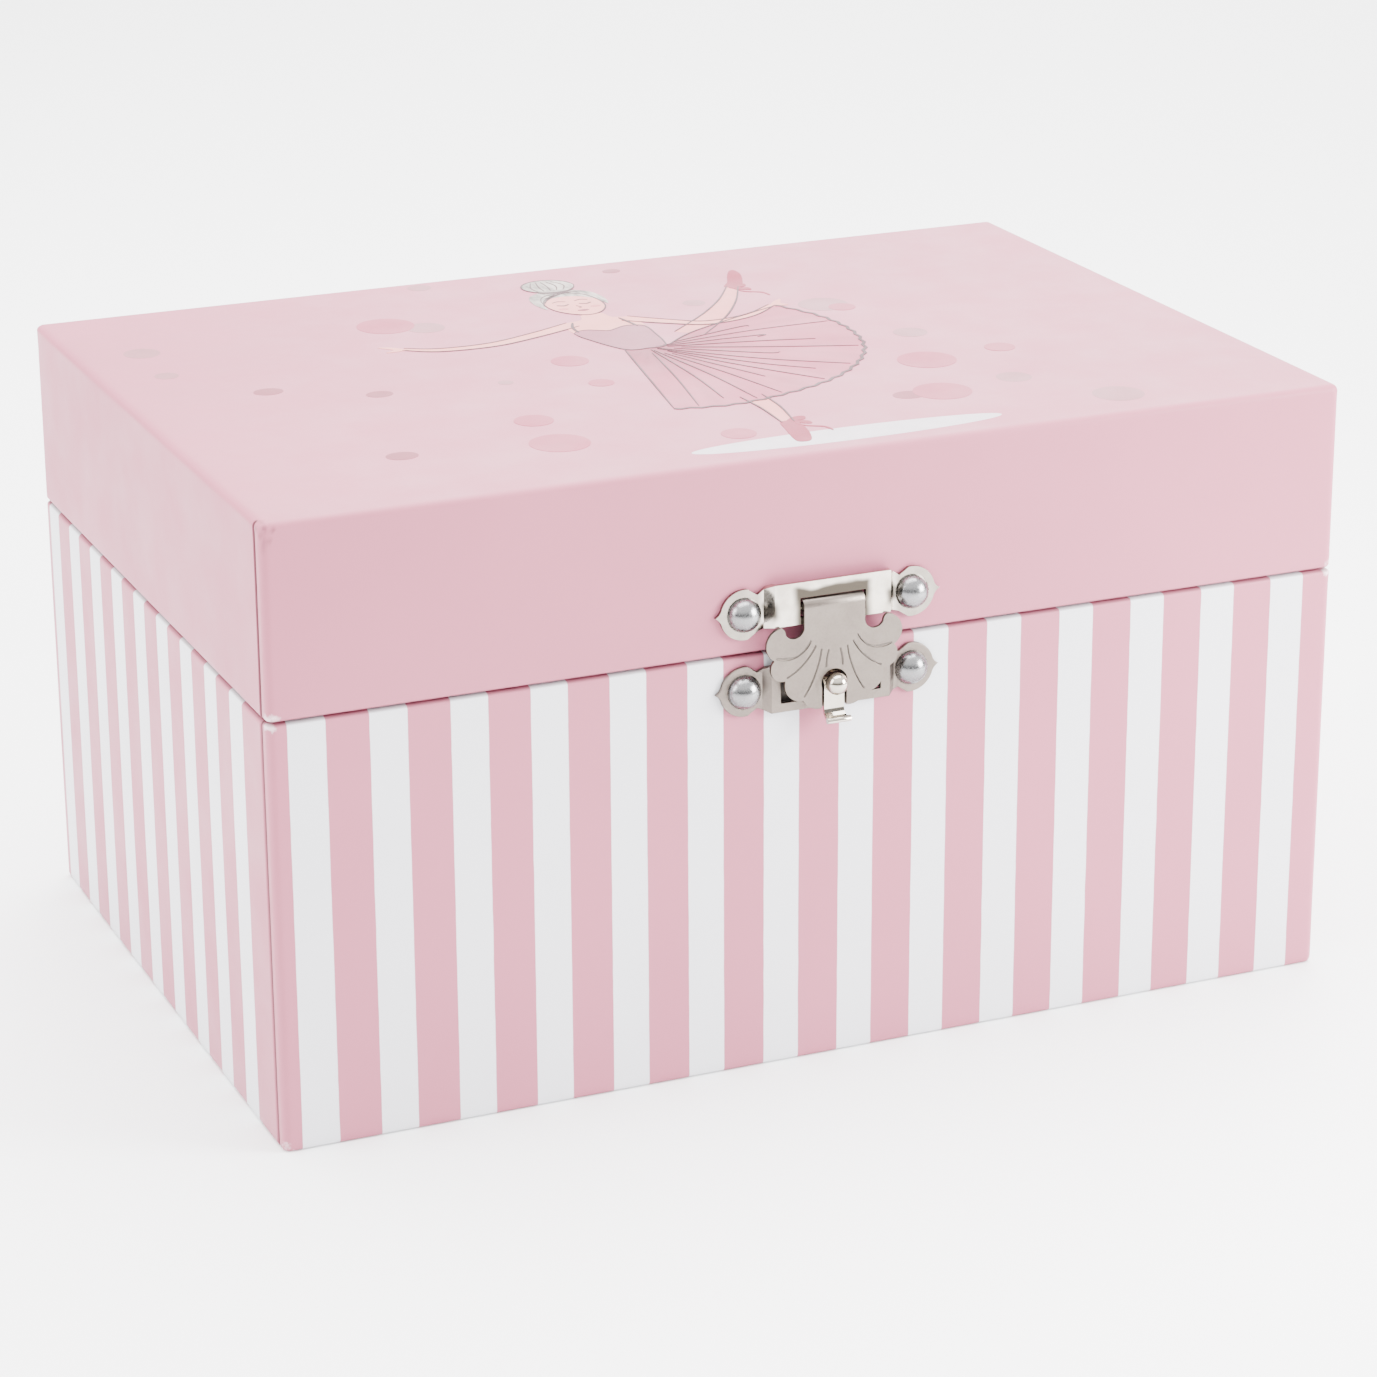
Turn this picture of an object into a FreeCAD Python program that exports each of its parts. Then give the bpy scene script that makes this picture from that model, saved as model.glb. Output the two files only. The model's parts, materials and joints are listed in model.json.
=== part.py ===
import FreeCAD, Part

import math
import os

# A small musical jewellery box: a board box and deep lid wrapped in printed paper, a snap clasp in front,
# two stop hinges behind, a mirror in the lid, a tray with ring rolls, and a clockwork movement under a
# deck that turns a dancer on a spring. X runs to the right, Y to the back, Z up. Millimetres.
# The origin is the middle of the underside. The lid is shut, and the dancer is bent forward under it.

V = FreeCAD.Vector
X, Y, Z = V(1, 0, 0), V(0, 1, 0), V(0, 0, 1)

# ---- driving dimensions ----
WIDTH, DEPTH, HEIGHT = 155.0, 105.5, 86.0
RIM_Z = 59.4            # top of the base
SEAM_GAP = 0.3          # dark line between the base and the lid
BOARD = 2.5             # wrapped board
PAPER = 0.25            # outer wrap
LINING = 0.25           # inner paper
SHEET = 0.2             # sheet glued under the box
EDGE_R = 0.9            # paper turning over an edge

# ---- worked out from them ----
FRONT_Y, BACK_Y = -DEPTH / 2, DEPTH / 2
LID_Z = RIM_Z + SEAM_GAP
BOARD_X, BOARD_Y = WIDTH / 2 - PAPER, DEPTH / 2 - PAPER
CAVITY_X, CAVITY_Y = BOARD_X - BOARD, BOARD_Y - BOARD
ROOM_X, ROOM_Y = CAVITY_X - LINING, CAVITY_Y - LINING
FLOOR_Z = SHEET + BOARD + LINING
CEILING_Z = HEIGHT - PAPER - BOARD - LINING

# ---- inside of the base ----
DECK_TOP_Z, DECK_T = 47.1, 2.5
DECK_FRONT_Y = 20.0
CARD = 2.0              # dividers and the deck's front
DIVIDER_TOP_Z = 44.0
DIVIDER_X, DIVIDER_Y = -22.0, -16.0
SHELF_TOP_Z = 26.0
ROLL_TOP_Z, ROLL_COUNT, ROLL_GAP = 41.0, 3, 0.3
PAD_T, PAD_GAP = 2.0, 0.4

# ---- mirror in the lid ----
MIRROR_X, MIRROR_Y, MIRROR_T = 112.0, 70.0, 1.8
FRAME_X, FRAME_Y, FRAME_FRONT_T = 136.0, 88.0, 0.8
WINDOW_X, WINDOW_Y, WINDOW_R = 102.0, 60.0, 6.0

# ---- hinges ----
HINGE_X = 45.0
HINGE_Y, HINGE_Z = BACK_Y + 1.35, RIM_Z + SEAM_GAP / 2
LEAF_T, LEAF_HALF, LEAF_LONG, LEAF_START = 0.6, 7.0, 9.5, 1.5
KNUCKLE_R, PIN_R, PIN_CLEAR = 1.3, 0.6, 0.05
MIDDLE_HALF, KNUCKLE_GAP = 2.2, 0.2
TAB_FROM, TAB_TO, TAB_TOP, TAB_T = 1.0, 2.6, 0.4, 0.7

# ---- clasp ----
NAIL_X = 12.2
LID_NAIL_Z, BASE_NAIL_Z = 65.3, 54.6
CLASP_T = 0.6
LID_BAND_HALF, LID_BAND_OUT = 8.4, 2.0
BASE_BAND_HALF, BASE_BAND_OUT = 8.6, 1.5
HASP_PIVOT_Z, HASP_PIVOT_OUT = 65.7, 1.4
BAR_R, HASP_BORE_R, HASP_KNUCKLE_R, HASP_HALF = 0.6, 0.66, 1.15, 4.4
HASP_T = 0.5
HASP_BACK = HASP_PIVOT_OUT + HASP_KNUCKLE_R - HASP_T
NOTCH_HALF, NOTCH_R, BALL_Z, BALL_R, BALL_OUT = 1.8, 1.9, 54.9, 1.5, 3.3
TONGUE_HALF, TONGUE_T = 1.45, 0.4
TONGUE_OUT, TONGUE_TOP_Z, TONGUE_LIP_Z = 2.3, 57.7, 50.1

# ---- movement ----
KEY_Z = 13.5
BED_T = 1.75
BED_Y = ROOM_Y - BED_T
BARREL_R, BARREL_BACK_Y, BARREL_FRONT_Y, BARREL_WALL = 9.0, 47.5, 37.5, 0.6
CROWN_TEETH, CROWN_R, CROWN_HALF, CROWN_TALL = 28, 8.0, 0.9, 1.4
PINION_TEETH, PINION_TIP_R, PINION_HALF = 10, 3.45, 0.7
PINION_R = CROWN_R * PINION_TEETH / CROWN_TEETH
SPIN_Y = BARREL_FRONT_Y - 0.15 - PINION_TIP_R
DRUM_R, DRUM_Z0, DRUM_Z1 = 6.5, 24.4, 41.4
SHAFT_R, BEARING_GAP = 1.0, 0.06
WHEEL_MODULE, WHEEL_TEETH, SECOND_TEETH, WHEEL_T = 0.36, 40, 20, 1.2
SECOND_X = -WHEEL_MODULE * (WHEEL_TEETH + SECOND_TEETH) / 2
WORM_WHEEL_TEETH, WORM_WHEEL_Z, WORM_R = 18, 30.75, 1.2
WORM_X = SECOND_X - WHEEL_MODULE * WORM_WHEEL_TEETH / 2 - WORM_R
FAN_R, FAN_Y0, FAN_Y1 = 5.4, 23.6, 28.4
LUG_T = 1.2
LOW_LUG_Z, HIGH_LUG_Z = 22.9, 43.0
BED_LEFT, BED_RIGHT, BED_LOW, BED_HIGH = -23.0, 27.0, 5.0, 43.5
TURNTABLE_R, TURNTABLE_Z0, TURNTABLE_Z1 = 8.0, 47.6, 49.3
STOP_X, STOP_Y, STOP_R = -24.0, 46.5, 0.8
STOP_TOP_Z = RIM_Z + 0.3
STOP_FOOT_Z = WORM_WHEEL_Z + FAN_R + 0.4
STOP_ARM_Z = 39.5
STOP_TAB_Z = 32.4
STOP_COLLAR_Z = 37.2

# ---- dancer ----
TILT = 62.0             # degrees forward with the lid shut
TILT_Z = 52.5           # middle of the spring
SPRING_HALF = TILT_Z - TURNTABLE_Z1
SPRING_R, SPRING_WIRE_R, SPRING_COILS = 1.9, 0.27, 5
TUTU_R = 13.0


# ---- small helpers ----
def box(x0, x1, y0, y1, z0, z1):
    return Part.makeBox(x1 - x0, y1 - y0, z1 - z0, V(x0, y0, z0))


def rod(start, end, radius):
    return Part.makeCylinder(radius, (end - start).Length, start, end - start)


def taper(start, end, r0, r1):
    return Part.makeCone(r0, r1, (end - start).Length, start, end - start)


def tube(start, end, outer, inner):
    return rod(start, end, outer).cut(rod(start, end, inner))


def fuse(first, *others):
    shape = first.multiFuse(list(others)) if others else first
    return shape.removeSplitter()


def cut(shape, *tools):
    return shape.cut(Part.makeCompound(list(tools)))


def rounded_block(half_x, half_y, z0, z1, radius, top=False):
    """A block with rounded upright edges, and rounded top edges where asked."""
    block = box(-half_x, half_x, -half_y, half_y, z0, z1)
    edges = [e for e in block.Edges if abs(e.tangentAt(e.FirstParameter).z) > 0.9]
    if top:
        edges += [e for e in block.Edges if e.CenterOfMass.z > z1 - 1e-6]
    return block.makeFillet(radius, edges)


def path_wire(start, steps):
    """A closed wire from start: a step is a point for a line, or (middle, end) for an arc."""
    edges, at = [], start
    for step in steps:
        if isinstance(step, tuple):
            edges.append(Part.Arc(at, *step).toShape())
            at = step[1]
        else:
            edges.append(Part.LineSegment(at, step).toShape())
            at = step
    if (at - start).Length > 1e-6:
        edges.append(Part.LineSegment(at, start).toShape())
    return Part.Wire(edges)


def front_plate(start, steps, out0, out1):
    """A plate with an outline in the front's plane, from out0 to out1 mm outside the front face."""
    face = Part.Face(path_wire(start, steps))
    face.translate(V(0, FRONT_Y - out0, 0))
    return face.extrude(V(0, out0 - out1, 0))


def side_strip(points, half, thickness):
    """A bent strip, half wide each side of the middle. points are (mm outside the front, height)."""
    left, right = [], []
    for i, (out, z) in enumerate(points):
        before, after = points[max(i - 1, 0)], points[min(i + 1, len(points) - 1)]
        run, rise = after[0] - before[0], after[1] - before[1]
        long = math.hypot(run, rise)
        across = (rise / long * thickness / 2, -run / long * thickness / 2)
        left.append(V(-half, FRONT_Y - out - across[0], z + across[1]))
        right.append(V(-half, FRONT_Y - out + across[0], z - across[1]))
    loop = left + right[::-1]
    return Part.Face(Part.makePolygon(loop + [loop[0]])).extrude(V(2 * half, 0, 0))


def gear(teeth, module, z0, z1, phase_deg):
    """A spur wheel about the Z axis with slim straight-sided teeth. One tooth is at phase_deg."""
    pitch_r, step = module * teeth / 2, 2 * math.pi / teeth
    root_r, tip_r = pitch_r - 1.1 * module, pitch_r + 0.85 * module
    return toothed_disc(teeth, step, root_r, tip_r, z0, z1, phase_deg)


def toothed_disc(teeth, step, root_r, tip_r, z0, z1, phase_deg):
    points = []
    for i in range(teeth):
        middle = math.radians(phase_deg) + i * step
        for radius, share in ((root_r, -0.28), (tip_r, -0.1), (tip_r, 0.1), (root_r, 0.28)):
            a = middle + share * step
            points.append(V(radius * math.cos(a), radius * math.sin(a), z0))
    return Part.Face(Part.makePolygon(points + [points[0]])).extrude(V(0, 0, z1 - z0))


def domed_nail(at, direction, head_r, head_tall, shank_r, shank_long):
    """A nail with a domed head: at is under the head, direction points outwards."""
    dome_r = (head_r ** 2 + head_tall ** 2) / (2 * head_tall)
    ball = Part.makeSphere(dome_r, at + direction * (head_tall - dome_r))
    head = ball.common(rod(at, at + direction * (head_tall + 1), head_r))
    return fuse(head, rod(at - direction * shank_long, at + direction * 0.1, shank_r))


# ---- base: boards, paper, lining ----
def wall_boards(z0, z1):
    """Front, back, left and right boards, butted at the corners."""
    core = rounded_block(BOARD_X, BOARD_Y, z0, z1, EDGE_R - PAPER)
    inner_y = BOARD_Y - BOARD
    return {
        "front_board": core.common(box(-WIDTH, WIDTH, -DEPTH, -inner_y, z0, z1)),
        "back_board": core.common(box(-WIDTH, WIDTH, inner_y, DEPTH, z0, z1)),
        "left_board": box(-BOARD_X, -CAVITY_X, -inner_y, inner_y, z0, z1),
        "right_board": box(CAVITY_X, BOARD_X, -inner_y, inner_y, z0, z1),
    }


def base_cover():
    top = RIM_Z - PAPER
    outer = rounded_block(WIDTH / 2, DEPTH / 2, SHEET, RIM_Z, EDGE_R)
    core = rounded_block(BOARD_X, BOARD_Y, SHEET, top, EDGE_R - PAPER)
    mouth = box(-CAVITY_X, CAVITY_X, -CAVITY_Y, CAVITY_Y, top - 1, RIM_Z + 1)
    return cut(outer, core, mouth)


def open_lining(z0, z1, opening_up):
    """Thin paper on the walls and the flat of a cavity."""
    outer = box(-CAVITY_X, CAVITY_X, -CAVITY_Y, CAVITY_Y, z0, z1)
    inner_z0, inner_z1 = (z0 + LINING, z1 + 1) if opening_up else (z0 - 1, z1 - LINING)
    return outer.cut(box(-ROOM_X, ROOM_X, -ROOM_Y, ROOM_Y, inner_z0, inner_z1))


def base_parts():
    parts = {"base_" + k: v for k, v in wall_boards(SHEET, RIM_Z - PAPER).items()}
    bottom_top = SHEET + BOARD
    parts["base_bottom_board"] = box(-CAVITY_X, CAVITY_X, -CAVITY_Y, CAVITY_Y, SHEET, bottom_top)
    parts["base_cover_paper"] = base_cover()
    inset = 1.5
    parts["underside_sheet"] = rounded_block(WIDTH / 2 - inset, DEPTH / 2 - inset, 0, SHEET, inset)
    parts["base_lining"] = open_lining(bottom_top, RIM_Z - PAPER, True)
    return parts


# ---- base: deck, dividers, pads ----
def tray_parts():
    deck_z0 = DECK_TOP_Z - DECK_T
    deck = box(-ROOM_X, ROOM_X, DECK_FRONT_Y, ROOM_Y, deck_z0, DECK_TOP_Z)
    shaft_hole = rod(V(0, SPIN_Y, deck_z0 - 1), V(0, SPIN_Y, DECK_TOP_Z + 1), SHAFT_R + 1.0)
    wire_hole = rod(V(STOP_X, STOP_Y, deck_z0 - 1), V(STOP_X, STOP_Y, DECK_TOP_Z + 1), STOP_R + 0.4)
    right = DIVIDER_X + CARD
    behind = DIVIDER_Y + CARD
    return {
        "deck_board": cut(deck, shaft_hole, wire_hole),
        "deck_front_board": box(-ROOM_X, ROOM_X, DECK_FRONT_Y, DECK_FRONT_Y + CARD, FLOOR_Z, deck_z0),
        "divider_long": box(DIVIDER_X, right, -ROOM_Y, DECK_FRONT_Y, FLOOR_Z, DIVIDER_TOP_Z),
        "divider_cross": box(right, ROOM_X, DIVIDER_Y, behind, FLOOR_Z, DIVIDER_TOP_Z),
        "ring_shelf": box(right, ROOM_X, behind, DECK_FRONT_Y, SHELF_TOP_Z - CARD, SHELF_TOP_Z),
        "ring_rolls": ring_rolls(right, behind),
        "tray_pads": Part.makeCompound([
            tray_pad(-ROOM_X, DIVIDER_X, -ROOM_Y, DECK_FRONT_Y),
            tray_pad(right, ROOM_X, -ROOM_Y, DIVIDER_Y),
        ]),
    }


def tray_pad(x0, x1, y0, y1):
    g = PAD_GAP
    return box(x0 + g, x1 - g, y0 + g, y1 - g, FLOOR_Z, FLOOR_Z + PAD_T)


def ring_rolls(x0, y0):
    """Foam rolls side by side, with rounded tops that leave slits for rings."""
    pitch = (DECK_FRONT_Y - y0) / ROLL_COUNT
    half = (pitch - ROLL_GAP) / 2
    spring_z = ROLL_TOP_Z - half
    rolls = []
    for i in range(ROLL_COUNT):
        y = y0 + pitch * (i + 0.5)
        body = box(x0 + PAD_GAP, ROOM_X - PAD_GAP, y - half, y + half, SHELF_TOP_Z, spring_z)
        crown = rod(V(x0 + PAD_GAP, y, spring_z), V(ROOM_X - PAD_GAP, y, spring_z), half)
        rolls.append(fuse(body, crown))
    return Part.makeCompound(rolls)


# ---- lid ----
def lid_parts():
    wall_top = HEIGHT - PAPER - BOARD
    parts = {"lid_" + k: v for k, v in wall_boards(LID_Z + PAPER, wall_top).items()}
    core = rounded_block(BOARD_X, BOARD_Y, LID_Z + PAPER, HEIGHT - PAPER, EDGE_R - PAPER, True)
    parts["lid_top_board"] = core.common(box(-WIDTH, WIDTH, -DEPTH, DEPTH, wall_top, HEIGHT))
    outer = rounded_block(WIDTH / 2, DEPTH / 2, LID_Z, HEIGHT, EDGE_R, True)
    mouth = box(-CAVITY_X, CAVITY_X, -CAVITY_Y, CAVITY_Y, LID_Z - 1, LID_Z + 1)
    parts["lid_cover_paper"] = cut(outer, core, mouth)
    parts["lid_lining"] = open_lining(LID_Z + PAPER, wall_top, False)
    parts.update(mirror_parts())
    pad_half, pad_tall, pad_deep = 3.0, 5.0, 4.0
    pad_z = RIM_Z + 0.45
    parts["lid_press_pad"] = box(
        STOP_X - pad_half, STOP_X + pad_half, ROOM_Y - pad_deep, ROOM_Y, pad_z, pad_z + pad_tall)
    return parts


def mirror_parts():
    card_z = CEILING_Z - 1.0
    glass_z = card_z - MIRROR_T
    front_z = glass_z - FRAME_FRONT_T
    card = box(-FRAME_X / 2, FRAME_X / 2, -FRAME_Y / 2, FRAME_Y / 2, card_z, CEILING_Z)
    glass = box(-MIRROR_X / 2, MIRROR_X / 2, -MIRROR_Y / 2, MIRROR_Y / 2, glass_z, card_z)
    frame = rounded_block(FRAME_X / 2, FRAME_Y / 2, front_z, card_z, 3.0)
    window = rounded_block(WINDOW_X / 2, WINDOW_Y / 2, front_z - 1, glass_z + 0.1, WINDOW_R)
    return {"mirror_card": card, "mirror_glass": glass, "mirror_frame": cut(frame, glass, window)}


# ---- hinges ----
def hinge_leaf(x, side):
    """One leaf: side is 1 for the lid's, with the middle knuckle, and -1 for the base's."""
    def lengthwise(x0, x1, radius):
        return rod(V(x + x0, HINGE_Y, HINGE_Z), V(x + x1, HINGE_Y, HINGE_Z), radius)

    def plate(x0, x1, s0, s1):
        z0, z1 = sorted((HINGE_Z + side * s0, HINGE_Z + side * s1))
        return box(x + x0, x + x1, BACK_Y, BACK_Y + LEAF_T, z0, z1)

    if side > 0:
        spans = [(-MIDDLE_HALF, MIDDLE_HALF)]
    else:
        inner = MIDDLE_HALF + KNUCKLE_GAP
        spans = [(-LEAF_HALF, -inner), (inner, LEAF_HALF)]
    pieces = [plate(-LEAF_HALF, LEAF_HALF, LEAF_START, LEAF_LONG)]
    for x0, x1 in spans:
        pieces += [plate(x0, x1, 0, LEAF_START), lengthwise(x0, x1, KNUCKLE_R)]
        if side < 0:
            pieces.append(box(x + x0, x + x1, HINGE_Y + TAB_FROM, HINGE_Y + TAB_TO,
                              HINGE_Z + TAB_TOP - TAB_T, HINGE_Z + TAB_TOP))
    leaf = fuse(*pieces)
    return leaf.cut(lengthwise(-LEAF_HALF - 1, LEAF_HALF + 1, PIN_R + PIN_CLEAR))


def hinge_pin(x):
    ends = V(LEAF_HALF + 0.5, 0, 0)
    middle = V(x, HINGE_Y, HINGE_Z)
    shank = rod(middle - ends, middle + ends, PIN_R)
    caps = [rod(middle + ends * s, middle + ends * s * 1.06, PIN_R + 0.3) for s in (-1, 1)]
    return fuse(shank, *caps)


def hinge_nails(side):
    nails = []
    for hinge in (-HINGE_X, HINGE_X):
        for dx in (-4.3, 4.3):
            at = V(hinge + dx, BACK_Y + LEAF_T, HINGE_Z + side * 6.0)
            nails.append(domed_nail(at, Y, 1.3, 0.6, 0.5, 2.9))
    return nails


# ---- clasp ----
def ear_steps(side):
    """Outline of a clasp's bud-shaped ear, from its upper neck to its lower neck, about its nail."""
    upper = [V(0.5, 0, 3.45), (V(-1.9, 0, 2.85), V(-3.15, 0, 1.25)), (V(-3.45, 0, 0.55), V(-4.1, 0, 0))]
    lower = [(V(-3.45, 0, -0.55), V(-3.15, 0, -1.25)), (V(-1.9, 0, -2.85), V(0.5, 0, -3.45)), V(1.9, 0, -2.5)]
    steps = upper + lower
    if side < 0:
        return steps
    turned = []
    flat = [V(1.9, 0, 2.5)] + steps
    for i in range(len(flat) - 1, 0, -1):
        end = flat[i - 1][1] if isinstance(flat[i - 1], tuple) else flat[i - 1]
        end = V(-end.x, 0, end.z)
        if isinstance(flat[i], tuple):
            turned.append((V(-flat[i][0].x, 0, flat[i][0].z), end))
        else:
            turned.append(end)
    return turned


def moved_steps(steps, dx, dz):
    shift = V(dx, 0, dz)
    return [tuple(p + shift for p in s) if isinstance(s, tuple) else s + shift for s in steps]


def clasp_plate(nail_z, band_half, rise, top, bottom):
    """A stamped plate: two flat ears on the wall, and a band raised between them.
    rise is how far the band's face stands out, top and bottom its edges about the nails."""
    slope = 1.0
    outline = moved_steps(ear_steps(-1), -NAIL_X, nail_z)
    outline += [V(-band_half, 0, nail_z + bottom), V(band_half, 0, nail_z + bottom)]
    outline += [V(NAIL_X - 1.9, 0, nail_z - 2.5)]
    outline += moved_steps(ear_steps(1), NAIL_X, nail_z)
    outline += [V(band_half, 0, nail_z + top), V(-band_half, 0, nail_z + top)]
    blank = front_plate(V(-NAIL_X + 1.9, 0, nail_z + 2.5), outline, 0, rise)
    far = NAIL_X + 6
    foot = band_half + slope
    low, high = FRONT_Y, FRONT_Y - rise
    profile = [(-far, low - CLASP_T), (-foot, low - CLASP_T), (-band_half, high), (band_half, high),
               (foot, low - CLASP_T), (far, low - CLASP_T), (far, low), (foot - 0.4, low),
               (band_half - 0.4, high + CLASP_T), (0.4 - band_half, high + CLASP_T),
               (0.4 - foot, low), (-far, low)]
    points = [V(px, py, nail_z - 10) for px, py in profile]
    bent = Part.Face(Part.makePolygon(points + [points[0]])).extrude(V(0, 0, 20))
    return blank.common(bent)


def nail_holes(nail_z):
    return [rod(V(s * NAIL_X, FRONT_Y - 2, nail_z), V(s * NAIL_X, FRONT_Y + 5, nail_z), 0.6) for s in (-1, 1)]


def clasp_nails(nail_z):
    return [domed_nail(V(s * NAIL_X, FRONT_Y - CLASP_T, nail_z), -Y, 2.4, 2.0, 0.6, 3.0) for s in (-1, 1)]


def lid_bracket():
    plate = clasp_plate(LID_NAIL_Z, LID_BAND_HALF, LID_BAND_OUT, 3.9, -1.9)
    window_half, reach = HASP_HALF + 0.35, HASP_KNUCKLE_R + 0.2
    window = box(-window_half, window_half, FRONT_Y - 5, FRONT_Y, HASP_PIVOT_Z - reach, HASP_PIVOT_Z + reach)
    bar_y, bar_end = FRONT_Y - HASP_PIVOT_OUT, window_half + 0.6
    bar = rod(V(-bar_end, bar_y, HASP_PIVOT_Z), V(bar_end, bar_y, HASP_PIVOT_Z), BAR_R)
    return cut(fuse(plate.cut(window), bar), *nail_holes(LID_NAIL_Z))


def shell_steps():
    """Right half of the shell-shaped leaf, from the neck down to the notch: a scroll and four lobes."""
    return [
        V(HASP_HALF, 0, 62.9),
        (V(5.6, 0, 61.7), V(7.1, 0, 62.4)),
        (V(7.25, 0, 63.0), V(7.7, 0, 63.4)),
        (V(9.85, 0, 60.9), V(8.7, 0, 59.0)),
        (V(9.15, 0, 57.3), V(7.1, 0, 56.0)),
        (V(6.85, 0, 54.1), V(4.5, 0, 52.9)),
        (V(3.5, 0, 51.8), V(NOTCH_HALF, 0, 51.5)),
    ]


def shell_grooves():
    """Fine engraved ribs that fan out from the neck to the cusps between the lobes."""
    ribs = [((3.4, 61.2), (5.2, 59.3), (8.4, 59.3)), ((2.7, 60.4), (4.5, 58.0), (6.9, 56.4)),
            ((1.9, 59.8), (2.7, 56.6), (4.4, 53.4)), ((0.8, 59.6), (1.1, 58.4), (1.2, 57.2))]
    cuts = []
    face_y = FRONT_Y - HASP_BACK - HASP_T
    for points in ribs:
        for side in (-1, 1):
            a, b, c = (V(side * px, face_y, pz) for px, pz in points)
            arc = Part.Arc(a, b, c).toShape()
            ring = Part.Wire([Part.makeCircle(0.13, a, arc.tangentAt(arc.FirstParameter))])
            cuts.append(Part.Wire([arc]).makePipeShell([ring], True, False))
    return cuts


def hasp():
    right = shell_steps()
    start = V(HASP_HALF, 0, HASP_PIVOT_Z)
    left, last = [], right[-1][1]
    points = [start] + right
    for i in range(len(points) - 1, 0, -1):
        end = points[i - 1][1] if isinstance(points[i - 1], tuple) else points[i - 1]
        end = V(-end.x, 0, end.z)
        left.append((V(-points[i][0].x, 0, points[i][0].z), end) if isinstance(points[i], tuple) else end)
    leaf = front_plate(start, right + [V(-last.x, 0, last.z)] + left, HASP_BACK, HASP_BACK + HASP_T)
    y0, y1 = FRONT_Y - 6, FRONT_Y
    slot = box(-NOTCH_HALF, NOTCH_HALF, y0, y1, BALL_Z - 5, BALL_Z)
    eye = rod(V(0, y0, BALL_Z), V(0, y1, BALL_Z), NOTCH_R)
    pivot_y = FRONT_Y - HASP_PIVOT_OUT
    ends = [V(s * HASP_HALF, pivot_y, HASP_PIVOT_Z) for s in (-1, 1)]
    knuckle = rod(ends[0], ends[1], HASP_KNUCKLE_R)
    bore = rod(ends[0] - X, ends[1] + X, HASP_BORE_R)
    return cut(fuse(leaf, knuckle), slot, eye, bore, *shell_grooves())


def base_plate():
    plate = clasp_plate(BASE_NAIL_Z, BASE_BAND_HALF, BASE_BAND_OUT, 3.3, -3.3)
    window_half, z0, z1 = 7.3, 52.6, 56.7
    window = box(-window_half, window_half, FRONT_Y - 5, FRONT_Y + 1, z0, z1)
    return cut(plate, window, *nail_holes(BASE_NAIL_Z))


def catch_tongue():
    """A spring strip from behind the plate, out through its window, with the ball and a thumb lip."""
    behind, top, face, lip = 0.5, TONGUE_TOP_Z, TONGUE_OUT, TONGUE_LIP_Z
    line = [(behind, top), (behind, top - 1.3), (behind + 0.4, top - 1.8), (face - 0.3, top - 2.6),
            (face, top - 3.1), (face, lip + 1.1), (face + 0.15, lip + 0.5), (face + 0.7, lip + 0.1),
            (face + 1.6, lip + 0.05)]
    strip = side_strip(line, TONGUE_HALF, TONGUE_T)
    lip_end = V(0, FRONT_Y - face - 1.7, lip)
    roll = rod(lip_end - X * (TONGUE_HALF + 0.25), lip_end + X * (TONGUE_HALF + 0.25), 0.42)
    return fuse(strip, Part.makeSphere(BALL_R, V(0, FRONT_Y - BALL_OUT, BALL_Z)), roll)


# ---- movement: fixed parts ----
def back_holes():
    """The holes through the back wall for the key's shaft and the movement's screws."""
    holes = [rod(V(0, ROOM_Y - 1, KEY_Z), V(0, BACK_Y + 1, KEY_Z), 2.4)]
    return holes + [rod(V(x, ROOM_Y - 1, z), V(x, BACK_Y + 1, z), 0.9) for x, z in screw_places()]


def screw_places():
    return [(-19.0, 9.0), (21.0, 9.0), (0.0, 33.0)]


def movement_screws():
    screws = []
    for x, z in screw_places():
        head = domed_nail(V(x, BACK_Y, z), Y, 2.0, 0.9, 0.9, BACK_Y - BED_Y)
        slot = box(x - 2.5, x + 2.5, BACK_Y + 0.5, BACK_Y + 2, z - 0.2, z + 0.2)
        screws.append(head.cut(slot))
    return screws


def bedplate():
    plate = box(BED_LEFT, BED_RIGHT, BED_Y, ROOM_Y, BED_LOW, BED_HIGH)
    tab = box(STOP_X - 2.5, BED_LEFT + 3, STOP_Y - 2.2, ROOM_Y, STOP_TAB_Z, STOP_TAB_Z + LUG_T)
    tab_hole = rod(V(STOP_X, STOP_Y, STOP_TAB_Z - 1), V(STOP_X, STOP_Y, STOP_TAB_Z + 3), STOP_R + BEARING_GAP)
    comb_block = box(19.5, 26.5, SPIN_Y + 0.6, BED_Y + 0.1, DRUM_Z0 - 0.4, DRUM_Z1 + 0.4)
    holes = [rod(V(x, BED_Y - 1, z), V(x, ROOM_Y + 1, z), 0.9) for x, z in screw_places()]
    arbor_hole = rod(V(0, BED_Y - 1, KEY_Z), V(0, ROOM_Y + 1, KEY_Z), 1.6 + BEARING_GAP)
    comb_holes = [rod(V(23, SPIN_Y, z), V(23, SPIN_Y + 5, z), 0.8) for z in (28.0, 38.0)]
    return cut(fuse(plate, tab, comb_block), arbor_hole, tab_hole, *holes, *comb_holes)


def barrel_bridge():
    """The strap that carries the arbor's front end, on a post each side of the barrel."""
    strap = box(-12.5, 12.5, 34.4, 35.6, KEY_Z - 2, KEY_Z + 2)
    posts = [box(s * 11.3 - 1.2, s * 11.3 + 1.2, 35.5, BED_Y, KEY_Z - 2, KEY_Z + 2) for s in (-1, 1)]
    hole = rod(V(0, 34, KEY_Z), V(0, 36, KEY_Z), 1.0 + BEARING_GAP)
    return fuse(strap, *posts).cut(hole)


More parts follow.
